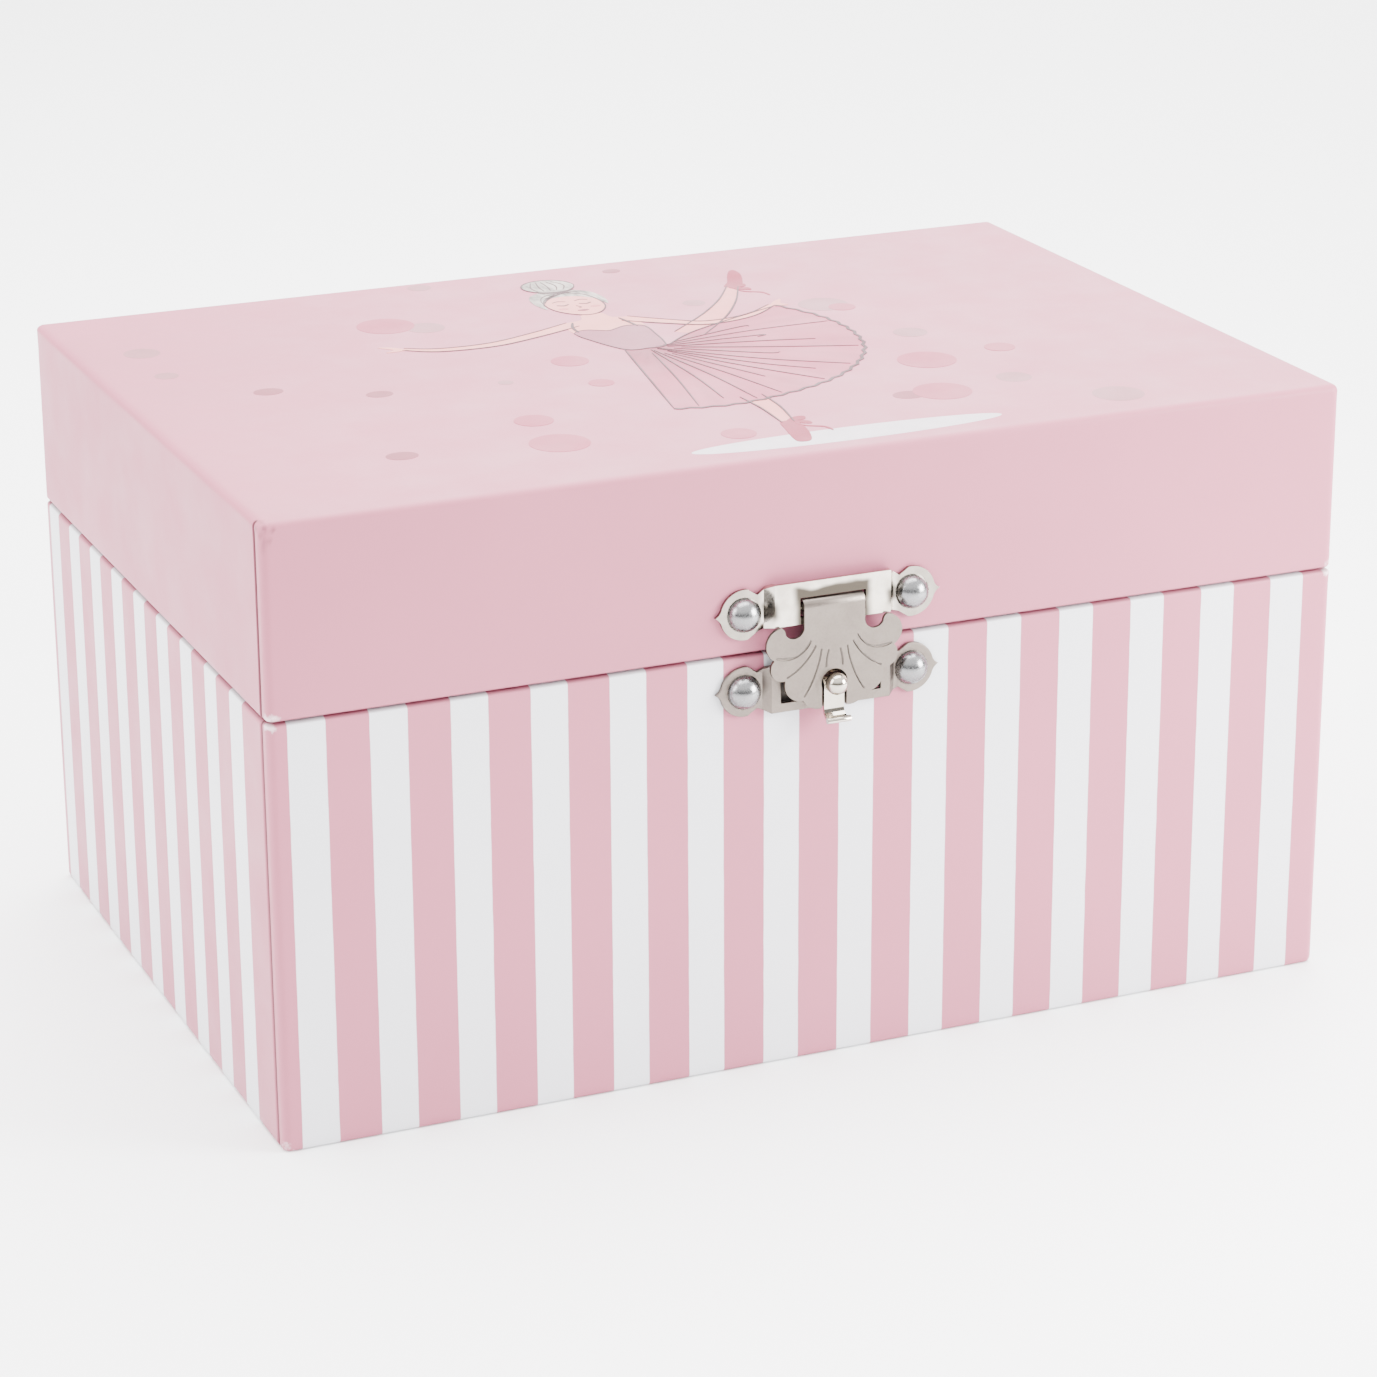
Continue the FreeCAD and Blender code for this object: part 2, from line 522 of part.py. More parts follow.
def lug(x0, x1, y0, z, hole_x):
    """A bearing lug that reaches forward from the bedplate, with a hole for an upright shaft."""
    flat = box(x0, x1, y0, BED_Y, z, z + LUG_T)
    return flat.cut(rod(V(hole_x, SPIN_Y, z - 1), V(hole_x, SPIN_Y, z + 3), SHAFT_R + BEARING_GAP))


def cylinder_bracket():
    back = box(-3, 3, BED_Y - 1.2, BED_Y, LOW_LUG_Z, HIGH_LUG_Z + LUG_T)
    low = lug(-3, 3, SPIN_Y - 3, LOW_LUG_Z, 0)
    high = lug(-3, 3, SPIN_Y - 3, HIGH_LUG_Z, 0)
    screw = rod(V(0, BED_Y - 3, 33), V(0, BED_Y + 1, 33), 0.9)
    return fuse(back, low, high).cut(screw)


def governor_bracket():
    low_z = 25.4
    x0, x1 = WORM_X - 3.2, SECOND_X + 2.2
    back = box(x0, x1, BED_Y - 1.2, BED_Y, low_z, HIGH_LUG_Z + LUG_T)
    low = lug(SECOND_X - 2.2, x1, SPIN_Y - 2.5, low_z, SECOND_X)
    high = lug(SECOND_X - 2.2, x1, SPIN_Y - 2.5, HIGH_LUG_Z, SECOND_X)
    side = box(x0, x0 + 1.0, 29.2, BED_Y, WORM_WHEEL_Z - 2, WORM_WHEEL_Z + 2)
    ends = [box(x0, WORM_X + 1.6, y, y + 1.0, WORM_WHEEL_Z - 2, WORM_WHEEL_Z + 2) for y in (29.2, 42.6)]
    hole = rod(V(WORM_X, 28, WORM_WHEEL_Z), V(WORM_X, 45, WORM_WHEEL_Z), 0.6 + BEARING_GAP)
    return fuse(back, low, high, side, *ends).cut(hole)


def comb():
    """The steel comb: a thick heel screwed down, and a tooth for each note, longest at the bottom."""
    notes, tip_x, root_x, heel_x = 18, DRUM_R + 0.45, 19.5, 26.5
    pitch = (DRUM_Z1 - DRUM_Z0 - 0.6) / notes
    heel = box(root_x, heel_x, SPIN_Y - 0.6, SPIN_Y + 0.6, DRUM_Z0, DRUM_Z1)
    teeth = []
    for i in range(notes):
        z = DRUM_Z0 + 0.3 + pitch * (i + 0.5)
        root = root_x - 3.0 * i / notes
        teeth.append(box(tip_x, root + 0.2, SPIN_Y - 0.2, SPIN_Y + 0.2, z - 0.38, z + 0.38))
        teeth.append(box(root, root_x + 0.2, SPIN_Y - 0.6, SPIN_Y + 0.6, z - 0.4, z + 0.4))
    holes = [rod(V(23, SPIN_Y - 1, z), V(23, SPIN_Y + 1, z), 0.8) for z in (28.0, 38.0)]
    return cut(fuse(heel, *teeth), *holes)


def comb_screws():
    screws = []
    for z in (28.0, 38.0):
        head = domed_nail(V(23, SPIN_Y - 0.6, z), -Y, 1.7, 0.9, 0.8, 4.4)
        screws.append(head.cut(box(20.5, 25.5, SPIN_Y - 3, SPIN_Y - 1.1, z - 0.18, z + 0.18)))
    return screws


# ---- movement: moving parts ----
def crown_tooth():
    """One tooth of the barrel's crown, at the top of the ring."""
    y0, y1 = BARREL_FRONT_Y + 0.1, BARREL_FRONT_Y - CROWN_TALL
    z0 = KEY_Z + CROWN_R - CROWN_HALF
    points = [V(-0.42, y0, z0), V(0.42, y0, z0), V(0.2, y1, z0), V(-0.2, y1, z0)]
    return Part.Face(Part.makePolygon(points + [points[0]])).extrude(V(0, 0, 2 * CROWN_HALF))


def spring_barrel():
    front, back = V(0, BARREL_FRONT_Y, KEY_Z), V(0, BARREL_BACK_Y - 0.7, KEY_Z)
    cup = rod(front, back, BARREL_R).cut(rod(front + Y * 0.8, back + Y, BARREL_R - BARREL_WALL))
    teeth = []
    for i in range(CROWN_TEETH):
        tooth = crown_tooth()
        tooth.rotate(V(0, 0, KEY_Z), Y, 360.0 * i / CROWN_TEETH)
        teeth.append(tooth)
    return fuse(cup, *teeth).cut(rod(front - Y, front + Y * 2, 1.6 + BEARING_GAP))


def barrel_cover():
    y = BARREL_BACK_Y - 0.7
    return tube(V(0, y, KEY_Z), V(0, BARREL_BACK_Y, KEY_Z), BARREL_R, 1.6 + BEARING_GAP)


def mainspring():
    """A flat spiral of half turns, from the arbor to the barrel's wall."""
    thick, gap, halves = 0.35, 0.13, 14
    first = 1.6 + 0.05
    step = (BARREL_R - BARREL_WALL - 0.1 - thick - first) / halves
    edges_in, edges_out = [], []
    for side, edges in ((0.0, edges_in), (thick, edges_out)):
        x, radius, sign = first + side, first + side, 1
        for _ in range(halves):
            end = x - sign * (2 * radius + step)
            middle, mean = (x + end) / 2, radius + step / 2
            edges.append(Part.Arc(V(x, 0, 0), V(middle, sign * mean, 0), V(end, 0, 0)).toShape())
            x, radius, sign = end, radius + step, -sign
    caps = [Part.LineSegment(edges_in[i].Vertexes[j].Point, edges_out[i].Vertexes[j].Point).toShape()
            for i, j in ((0, 0), (-1, -1))]
    wire = Part.Wire(Part.__sortEdges__(edges_in + edges_out + caps))
    strip = Part.Face(wire).extrude(V(0, 0, BARREL_BACK_Y - BARREL_FRONT_Y - 2.0 - gap))
    strip.rotate(V(0, 0, 0), X, -90)
    strip.translate(V(0, BARREL_FRONT_Y + 1.0, KEY_Z))
    return strip


def winding_arbor():
    thick = rod(V(0, 36.0, KEY_Z), V(0, BACK_Y + 1.0, KEY_Z), 1.6)
    thin = rod(V(0, 34.2, KEY_Z), V(0, 36.1, KEY_Z), 1.0)
    return fuse(thick, thin)


def winding_key():
    """A flat butterfly key on a round hub that screws on to the arbor outside the back wall."""
    y0, y1, y2 = BACK_Y + 1.0, BACK_Y + 6.0, BACK_Y + 17.0
    hub = rod(V(0, y0, KEY_Z), V(0, y1 + 1.5, KEY_Z), 2.1)
    thick = 1.1
    wings = []
    for side in (-1, 1):
        centre = V(side * 5.6, (y1 + y2) / 2, KEY_Z)
        loop = tube(centre - Z * thick / 2, centre + Z * thick / 2, 5.2, 2.6)
        wings.append(loop)
    web = box(-3.0, 3.0, y1 - 0.5, y2 - 3.2, KEY_Z - thick / 2, KEY_Z + thick / 2)
    return fuse(hub, web, *wings)


def pinned_cylinder():
    """The drum with its pins, and the wheel on its upper end that drives the governor."""
    drum = rod(V(0, SPIN_Y, DRUM_Z0), V(0, SPIN_Y, DRUM_Z1), DRUM_R)
    wheel = gear(WHEEL_TEETH, WHEEL_MODULE, DRUM_Z1, DRUM_Z1 + WHEEL_T, 0)
    wheel.translate(V(0, SPIN_Y, 0))
    pitch, rows, turns = (DRUM_Z1 - DRUM_Z0 - 0.6) / 18, 18, 4
    pins = []
    for row in range(rows):
        z = DRUM_Z0 + 0.3 + pitch * (row + 0.5)
        for turn in range(turns):
            angle = 137.5 * (row * turns + turn) + 23.0 * turn
            pin = box(DRUM_R - 0.3, DRUM_R + 0.3, -0.15, 0.15, z - 0.15, z + 0.15)
            pin.rotate(V(0, 0, 0), Z, angle)
            pin.translate(V(0, SPIN_Y, 0))
            pins.append(pin)
    bore = rod(V(0, SPIN_Y, DRUM_Z0 - 1), V(0, SPIN_Y, DRUM_Z1 + 3), SHAFT_R)
    return fuse(drum, wheel, *pins).cut(bore)


def cylinder_shaft():
    """The upright shaft with the pinion that the barrel's crown drives."""
    z = KEY_Z + CROWN_R
    step = 2 * math.pi / PINION_TEETH
    root_r = PINION_R - 0.8
    pinion = toothed_disc(PINION_TEETH, step, root_r, PINION_TIP_R, z - PINION_HALF, z + PINION_HALF, 0)
    pinion.translate(V(0, SPIN_Y, 0))
    return fuse(rod(V(0, SPIN_Y, z - 1.2), V(0, SPIN_Y, TURNTABLE_Z0 + 0.8), SHAFT_R), pinion)


def turntable():
    low, high = V(0, SPIN_Y, TURNTABLE_Z0), V(0, SPIN_Y, TURNTABLE_Z1)
    disc = rod(low, high, TURNTABLE_R)
    rim = [e for e in disc.Edges if e.CenterOfMass.z > TURNTABLE_Z1 - 0.01]
    return disc.makeFillet(0.5, rim[:1]).cut(rod(low - Z, low + Z * 0.8, SHAFT_R))


def second_wheel():
    pinion = gear(SECOND_TEETH, WHEEL_MODULE, DRUM_Z1, DRUM_Z1 + WHEEL_T, 9)
    worm_wheel = gear(WORM_WHEEL_TEETH, WHEEL_MODULE, WORM_WHEEL_Z - 0.5, WORM_WHEEL_Z + 0.5, 0)
    shaft = rod(V(0, 0, 25.6), V(0, 0, HIGH_LUG_Z + LUG_T - 0.1), SHAFT_R)
    wheel = fuse(pinion, worm_wheel, shaft)
    wheel.translate(V(SECOND_X, SPIN_Y, 0))
    return wheel


def governor_worm():
    """The worm on its thin shaft. Its thread leaves a groove facing the worm wheel's tooth."""
    pitch, threads = math.pi * WHEEL_MODULE, 5
    root_r, tip_r = WORM_R - 0.4, WORM_R + 0.28
    long = threads * pitch
    helix = Part.makeHelix(pitch, long, root_r)
    points = [V(root_r - 0.1, 0, -0.3), V(tip_r, 0, -0.1), V(tip_r, 0, 0.1), V(root_r - 0.1, 0, 0.3)]
    thread = Part.Wire(helix).makePipeShell([Part.makePolygon(points + [points[0]])], True, True)
    thread.translate(V(0, 0, -long / 2))
    core = rod(V(0, 0, -long / 2 - 0.4), V(0, 0, long / 2 + 0.4), root_r)
    shaft = rod(V(0, 0, FAN_Y0 - SPIN_Y), V(0, 0, 9.9), 0.6)
    worm = fuse(thread, core, shaft)
    worm.rotate(V(0, 0, 0), X, -90)
    worm.translate(V(WORM_X, SPIN_Y, WORM_WHEEL_Z))
    return worm


def governor_fan():
    """The two-bladed air brake on the worm's front end."""
    blades = box(WORM_X - FAN_R, WORM_X + FAN_R, FAN_Y0, FAN_Y1, WORM_WHEEL_Z - 0.3, WORM_WHEEL_Z + 0.3)
    centre0, centre1 = V(WORM_X, FAN_Y0, WORM_WHEEL_Z), V(WORM_X, FAN_Y1, WORM_WHEEL_Z)
    return fuse(blades, rod(centre0, centre1, 1.3)).cut(rod(centre0 - Y, centre1 + Y, 0.6))


def stop_wire():
    """The bent wire that the lid holds down: its foot stands on the fan's sweep and stops the music."""
    foot_y = (FAN_Y0 + FAN_Y1) / 2
    elbow, over = V(STOP_X, STOP_Y, STOP_ARM_Z), V(WORM_X, foot_y, STOP_ARM_Z)
    upright = rod(V(STOP_X, STOP_Y, STOP_TAB_Z - 1.5), V(STOP_X, STOP_Y, STOP_TOP_Z), STOP_R)
    arm = rod(elbow, over, STOP_R)
    foot = rod(V(WORM_X, foot_y, STOP_FOOT_Z), over, STOP_R)
    collar = rod(V(STOP_X, STOP_Y, STOP_COLLAR_Z), V(STOP_X, STOP_Y, STOP_COLLAR_Z + 0.6), 1.5)
    return fuse(upright, arm, foot, collar, Part.makeSphere(STOP_R, over))


def wire_coil(radius, wire_r, pitch, tall):
    helix = Part.makeHelix(pitch, tall, radius)
    ring = Part.Wire([Part.makeCircle(wire_r, V(radius, 0, 0), Y)])
    return Part.Wire(helix).makePipeShell([ring], True, False)


def stop_spring():
    """A weak coil on the wire, from the bedplate's tab to the wire's collar, which lifts the wire."""
    wire_r, low, high = 0.15, STOP_TAB_Z + LUG_T, STOP_COLLAR_Z
    coil = wire_coil(1.2, wire_r, 0.62, high - low - 2 * wire_r - 0.04)
    coil.translate(V(STOP_X, STOP_Y, low + wire_r + 0.02))
    return coil


# ---- dancer ----
def lean(shape):
    """Puts a piece made upright, at its place above the turntable, into the bent rest pose."""
    shape.rotate(V(0, SPIN_Y, TILT_Z), X, TILT)
    return shape


def dancer_spring():
    """The close coil under the dancer, bent with her: rings set round the arc that its middle follows."""
    bend_r = SPRING_HALF / math.tan(math.radians(TILT / 2))
    rings = []
    for i in range(SPRING_COILS + 1):
        angle = TILT * (0.09 + 0.82 * i / SPRING_COILS)
        ring = Part.makeTorus(SPRING_R, SPRING_WIRE_R, V(0, SPIN_Y, TURNTABLE_Z1), Z)
        ring.rotate(V(0, SPIN_Y - bend_r, TURNTABLE_Z1), X, angle)
        rings.append(ring)
    return Part.makeCompound(rings)


def limb(points, radii):
    """A jointed limb: tapered runs with a ball at each joint."""
    pieces = []
    for i in range(len(points) - 1):
        pieces.append(taper(points[i], points[i + 1], radii[i], radii[i + 1] - 0.001))
    pieces += [Part.makeSphere(r, p) for p, r in zip(points, radii)]
    return pieces


def dancer_body():
    """A simple upright dancer on one toe: a peg in the spring, legs, trunk, arms, head and bun."""
    foot_z = TILT_Z + SPRING_HALF
    profile = [(0, 18.0), (2.4, 18.4), (2.7, 20.0), (1.9, 23.4), (2.45, 27.0), (2.3, 29.3), (0.95, 30.6),
               (0.9, 32.6), (0, 32.6)]
    points = [V(r, 0, z) for r, z in profile]
    trunk = Part.Face(Part.makePolygon(points + [points[0]])).revolve(V(0, 0, 0), Z, 360)
    peg = rod(V(0, 0, 0), V(0, 0, 2.6), 1.5)
    pieces = [trunk, Part.makeSphere(3.0, V(0, 0, 35.0)), Part.makeSphere(1.6, V(0, 0.6, 38.6)), peg]
    pieces += limb([V(0, 0, 2.4), V(0, 0, 10.6), V(0, 0, 19)], [0.75, 1.25, 1.9])
    pieces += limb([V(0.9, 0, 18.6), V(5.6, -1.6, 13.8), V(1.4, -0.6, 10.4)], [1.7, 1.2, 0.7])
    for side in (-1, 1):
        pieces += limb([V(side * 2.2, 0, 29.0), V(side * 6.2, -1.2, 27.6), V(side * 10.2, -3.0, 29.2)],
                       [0.95, 0.75, 0.55])
    body = fuse(*pieces)
    body.translate(V(0, SPIN_Y, foot_z))
    return lean(body)


def dancer_tutu():
    """The gathered net skirt: a shallow cone with a soft edge, open round the hips."""
    foot_z = TILT_Z + SPRING_HALF
    profile = [(3.0, 22.2), (TUTU_R, 19.2), (TUTU_R, 18.0), (3.0, 20.3)]
    points = [V(r, 0, z) for r, z in profile]
    skirt = Part.Face(Part.makePolygon(points + [points[0]])).revolve(V(0, 0, 0), Z, 360)
    skirt.translate(V(0, SPIN_Y, foot_z))
    return lean(skirt)


def all_parts():
    parts = {**base_parts(), **tray_parts(), **lid_parts()}
    parts["hinge_lid_leaves"] = Part.makeCompound([hinge_leaf(s * HINGE_X, 1) for s in (-1, 1)])
    parts["hinge_base_leaves"] = Part.makeCompound([hinge_leaf(s * HINGE_X, -1) for s in (-1, 1)])
    parts["hinge_pins"] = Part.makeCompound([hinge_pin(s * HINGE_X) for s in (-1, 1)])
    lid_hinge_nails, base_hinge_nails = hinge_nails(1), hinge_nails(-1)
    lid_clasp_nails, base_clasp_nails = clasp_nails(LID_NAIL_Z), clasp_nails(BASE_NAIL_Z)
    for name in ("lid_back_board", "lid_cover_paper", "hinge_lid_leaves"):
        parts[name] = cut(parts[name], *lid_hinge_nails)
    for name in ("base_back_board", "base_cover_paper", "hinge_base_leaves"):
        parts[name] = cut(parts[name], *base_hinge_nails)
    for name in ("lid_front_board", "lid_cover_paper"):
        parts[name] = cut(parts[name], *lid_clasp_nails)
    for name in ("base_front_board", "base_cover_paper"):
        parts[name] = cut(parts[name], *base_clasp_nails)
    for name in ("base_back_board", "base_cover_paper", "base_lining"):
        parts[name] = cut(parts[name], *back_holes())
    parts["hinge_lid_nails"] = Part.makeCompound(lid_hinge_nails)
    parts["hinge_base_nails"] = Part.makeCompound(base_hinge_nails)
    parts["clasp_lid_nails"] = Part.makeCompound(lid_clasp_nails)
    parts["clasp_base_nails"] = Part.makeCompound(base_clasp_nails)
    parts["clasp_lid_bracket"] = lid_bracket()
    parts["clasp_hasp"] = hasp()
    parts["clasp_base_plate"] = base_plate()
    parts["catch_tongue"] = catch_tongue()
    parts["movement_bedplate"] = bedplate()
    parts["movement_screws"] = Part.makeCompound(movement_screws())
    parts["barrel_bridge"] = barrel_bridge()
    parts["cylinder_bracket"] = cylinder_bracket()
    parts["governor_bracket"] = governor_bracket()
    parts["comb"] = comb()
    parts["comb_screws"] = Part.makeCompound(comb_screws())
    parts["spring_barrel"] = spring_barrel()
    parts["barrel_cover"] = barrel_cover()
    parts["mainspring"] = mainspring()
    parts["winding_arbor"] = winding_arbor()
    parts["winding_key"] = winding_key()
    parts["pinned_cylinder"] = pinned_cylinder()
    parts["cylinder_shaft"] = cylinder_shaft()
    parts["turntable"] = turntable()
    parts["second_wheel"] = second_wheel()
    parts["governor_worm"] = governor_worm()
    parts["governor_fan"] = governor_fan()
    parts["stop_wire"] = stop_wire()
    parts["stop_spring"] = stop_spring()
    parts["dancer_spring"] = dancer_spring()
    parts["dancer_body"] = dancer_body()
    parts["dancer_tutu"] = dancer_tutu()
    return parts


def main():
    os.makedirs("parts", exist_ok=True)
    for name, shape in sorted(all_parts().items()):
        solids = shape.Solids
        if not solids or not all(s.isValid() and s.Volume > 0 for s in solids):
            print("not a sound solid:", name, len(solids))
        shape.exportStep("parts/" + name + ".step")


main()
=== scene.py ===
import json
import math
import random

import bmesh
import bpy
from mathutils import Matrix, Vector, noise


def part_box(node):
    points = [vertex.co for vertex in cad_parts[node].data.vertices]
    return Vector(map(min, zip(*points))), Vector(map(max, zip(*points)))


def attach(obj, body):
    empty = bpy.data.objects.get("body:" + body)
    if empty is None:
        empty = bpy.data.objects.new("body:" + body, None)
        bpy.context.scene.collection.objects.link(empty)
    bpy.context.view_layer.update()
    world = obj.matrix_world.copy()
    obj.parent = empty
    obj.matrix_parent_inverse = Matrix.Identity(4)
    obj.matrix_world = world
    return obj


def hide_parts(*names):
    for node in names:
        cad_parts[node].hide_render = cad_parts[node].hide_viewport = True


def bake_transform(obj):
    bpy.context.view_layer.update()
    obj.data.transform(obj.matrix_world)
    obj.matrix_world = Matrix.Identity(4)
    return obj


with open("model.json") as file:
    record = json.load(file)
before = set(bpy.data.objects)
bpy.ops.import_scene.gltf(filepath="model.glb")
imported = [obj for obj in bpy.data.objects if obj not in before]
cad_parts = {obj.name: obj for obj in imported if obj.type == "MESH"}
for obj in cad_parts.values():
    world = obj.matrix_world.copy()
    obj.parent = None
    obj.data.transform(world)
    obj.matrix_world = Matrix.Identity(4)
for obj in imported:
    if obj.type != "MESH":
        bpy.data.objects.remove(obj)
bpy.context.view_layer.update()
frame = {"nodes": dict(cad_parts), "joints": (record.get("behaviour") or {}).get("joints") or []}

# The ballerina jewellery box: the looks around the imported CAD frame. Lengths are in metres, and MM makes
# them from millimetres. Names that end in _IN are distances in from the box's outer face.
MM = 0.001


# ---- places read from the frame ----
def extent(node):
    low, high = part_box(node)
    return Vector(low), Vector(high)


HALF_X, HALF_Y, RIM_Z = extent("base_cover_paper")[1]
UNDER_Z = extent("base_cover_paper")[0].z
SEAM_Z, TOP_Z = (corner.z for corner in extent("lid_cover_paper"))
LINED_IN = HALF_X - extent("base_lining")[1].x
BOARD_IN = HALF_X - extent("base_front_board")[1].x - 0.03 * MM
CORNERS = ((-1, 1), (-1, -1), (1, -1), (1, 1))      # signs of x and y, from the back left by the front


# ---- materials ----
class Nodes:
    """Short calls for the nodes of a material or a world."""

    def __init__(self, owner, shader):
        owner.use_nodes = True
        self.tree = owner.node_tree
        self.shader = self.tree.nodes[shader]
        coordinates = self.tree.nodes.new("ShaderNodeTexCoord").outputs
        self.place, self.uv, self.direction = (coordinates[name] for name in ("Object", "UV", "Generated"))

    def set(self, node, values):
        for key, value in values.items():
            if isinstance(value, bpy.types.NodeSocket):
                self.tree.links.new(value, node.inputs[key])
            else:
                node.inputs[key].default_value = value
        return node

    def node(self, kind, inputs, **settings):
        node = self.tree.nodes.new(kind)
        for key, value in settings.items():
            setattr(node, key, value)
        return self.set(node, inputs)

    def math(self, operation, a, b=0.0, c=0.0):
        return self.node("ShaderNodeMath", {0: a, 1: b, 2: c}, operation=operation).outputs[0]

    def noise(self, scale, detail=2.0, stretch=(1, 1, 1)):
        """Noise with scale bumps in a millimetre, stretched along the axes with a small factor."""
        where = self.node("ShaderNodeMapping", {"Vector": self.place, "Scale": stretch}).outputs[0]
        values = {"Vector": where, "Scale": scale / MM, "Detail": detail}
        return self.node("ShaderNodeTexNoise", values).outputs["Fac"]

    def spread(self, value, low, high, to_low=0.0, to_high=1.0, kind="LINEAR"):
        values = {0: value, 1: low, 2: high, 3: to_low, 4: to_high}
        return self.node("ShaderNodeMapRange", values, interpolation_type=kind).outputs[0]

    def fade(self, value, low, high, to_low=1.0, to_high=0.0):
        return self.spread(value, low, high, to_low, to_high, "SMOOTHSTEP")

    def cloud(self, scale, detail, reach, to_low=0.0, to_high=1.0, stretch=(1, 1, 1)):
        """Noise that runs from to_low to to_high while it is within reach of its middle."""
        return self.spread(self.noise(scale, detail, stretch), 0.5 - reach, 0.5 + reach, to_low, to_high)

    def mix(self, factor, a, b):
        a = a if isinstance(a, bpy.types.NodeSocket) else (*a, 1.0)
        b = b if isinstance(b, bpy.types.NodeSocket) else (*b, 1.0)
        return self.node("ShaderNodeMix", {0: factor, 6: a, 7: b}, data_type="RGBA").outputs[2]

    def shades(self, factor, color, dark, light):
        return self.mix(factor, shade(color, dark), shade(color, light))

    def split(self, vector):
        return self.node("ShaderNodeSeparateXYZ", {0: vector}).outputs

    def attribute(self, name):
        return self.node("ShaderNodeAttribute", {}, attribute_name=name).outputs["Fac"]

    def bump(self, height, distance, strength=1.0, base=None):
        values = {"Height": height, "Distance": distance * MM, "Strength": strength}
        if base is not None:
            values["Normal"] = base
        return self.node("ShaderNodeBump", values).outputs[0]


class Finish(Nodes):
    """A material being built, with its Principled shader."""

    def __init__(self, name, color, roughness, **sockets):
        self.material = bpy.data.materials.new(name)
        super().__init__(self.material, "Principled BSDF")
        self.set(self.shader, {"Base Color": (*color, 1.0), "Roughness": roughness, **sockets})

    def use(self, **links):
        names = {"color": "Base Color", "roughness": "Roughness", "normal": "Normal"}
        self.set(self.shader, {names[key]: value for key, value in links.items()})


def shade(color, factor):
    return tuple(min(1.0, c * factor) for c in color)


WRAP_PINK = (0.375, 0.122, 0.172)
WRAP_WHITE = (0.600, 0.600, 0.630)
WORN = (0.62, 0.46, 0.49)
# The dark tone of painted shade along the seams between papers and in a crease at the lid's corner.
PAINTED_SHADE_TONE = (0.10, 0.035, 0.042)
COATED = {"Specular IOR Level": 0.14}       # the low gloss of coated paper, and of ink on it
STRIPE_SHARE, STRIPE_EDGE = 0.474, 0.008    # of the stripes' pitch: the white share, and its soft edge


def coated_finish(name, color, smoothest):
    """A coated face: small handling marks in the sheen, and fine fibres."""
    f = Finish(name, color, 0.42, **COATED)
    f.use(roughness=f.cloud(0.12, 4, 0.2, smoothest, 0.50))
    f.use(normal=f.bump(f.noise(1.6, 4, (1, 1, 0.35)), 0.02, 0.35))
    return f


def wrap_paper(name, printed):
    """Wrapping paper with its printed colours, worn pale at corners, with painted shade along the seams
    between papers and in a crease.
    """
    f = coated_finish(name, WRAP_PINK, 0.36)
    worn = f.spread(f.math("MULTIPLY", f.attribute("wear"), f.noise(0.9, 5)), 0.30, 0.42)
    # Painted shade darkens the seams between papers and a crease at the lid's corner, over the wear.
    f.use(color=f.mix(f.attribute("painted_shade"), f.mix(worn, printed(f), WORN), PAINTED_SHADE_TONE))
    return f.material


def plain_pink(f):
    return f.shades(f.cloud(0.03, 3, 0.15), WRAP_PINK, 0.97, 1.02)


def pink_and_white(f):
    """White stripes on pink. The UV map's U counts the stripes round the box."""
    wobble = f.cloud(0.25, 3, 0.5, -0.006, 0.006)
    phase = f.math("FRACT", f.math("ADD", f.math("ADD", f.split(f.uv)[0], 100.0), wobble))
    rise = f.spread(phase, 0.0, STRIPE_EDGE)
    fall = f.spread(phase, STRIPE_SHARE - STRIPE_EDGE, STRIPE_SHARE, 1.0, 0.0)
    white = f.shades(f.cloud(0.03, 3, 0.15), WRAP_WHITE, 0.98, 1.01)
    return f.mix(f.math("MULTIPLY", rise, fall), plain_pink(f), white)


def ink_finish(name, color, cloudy=0.05):
    """Printed ink, with a slight wash of tone."""
    f = coated_finish(name, color, 0.37)
    f.use(color=f.shades(f.cloud(0.35, 4, 0.2), color, 1 - cloudy, 1 + cloudy))
    return f.material


def hair_ink():
    f = Finish("ink_hair", (0.22, 0.17, 0.15), 0.42, **COATED)
    strands = f.cloud(0.9, 4, 0.15, stretch=(1, 0.35, 1))
    f.use(color=f.mix(strands, (0.100, 0.086, 0.078), (0.36, 0.31, 0.28)))
    return f.material


def skirt_ink(waist):
    """A wash that is deeper towards the waist, with soft streaks that fan out from it."""
    light, deep = (0.335, 0.076, 0.122), (0.200, 0.038, 0.066)
    f = Finish("ink_skirt", light, 0.42, **COATED)
    away = f.node("ShaderNodeVectorMath", {0: f.place, 1: waist}, operation="SUBTRACT").outputs[0]
    far = f.node("ShaderNodeVectorMath", {0: away}, operation="LENGTH").outputs["Value"]
    x, y, _ = f.split(away)
    turned, drawn_out = f.math("MULTIPLY", f.math("ARCTAN2", y, x), 9.0), f.math("MULTIPLY", far, 60)
    fan = f.node("ShaderNodeCombineXYZ", {0: turned, 1: drawn_out}).outputs[0]
    streaks = f.node("ShaderNodeTexNoise", {"Vector": fan, "Scale": 1.0, "Detail": 3.0}).outputs["Fac"]
    tone = f.math("ADD", f.spread(far, 4 * MM, 17 * MM, 0.85, 0.0), f.spread(streaks, 0.45, 0.75, 0, 0.35))
    f.use(color=f.mix(f.spread(tone, 0, 1), light, deep))
    f.use(roughness=f.cloud(0.12, 4, 0.2, 0.37, 0.50))
    return f.material


def card_paper(name, color):
    """Uncoated paper: fibres, and faint mottling."""
    f = Finish(name, color, 0.6, **{"Specular IOR Level": 0.3})
    fibres = f.noise(2.4, 6, (0.5, 1, 1))
    f.use(color=f.shades(f.spread(fibres, 0.35, 0.65), color, 0.95, 1.04))
    f.use(normal=f.bump(fibres, 0.03, 0.5))
    return f.material


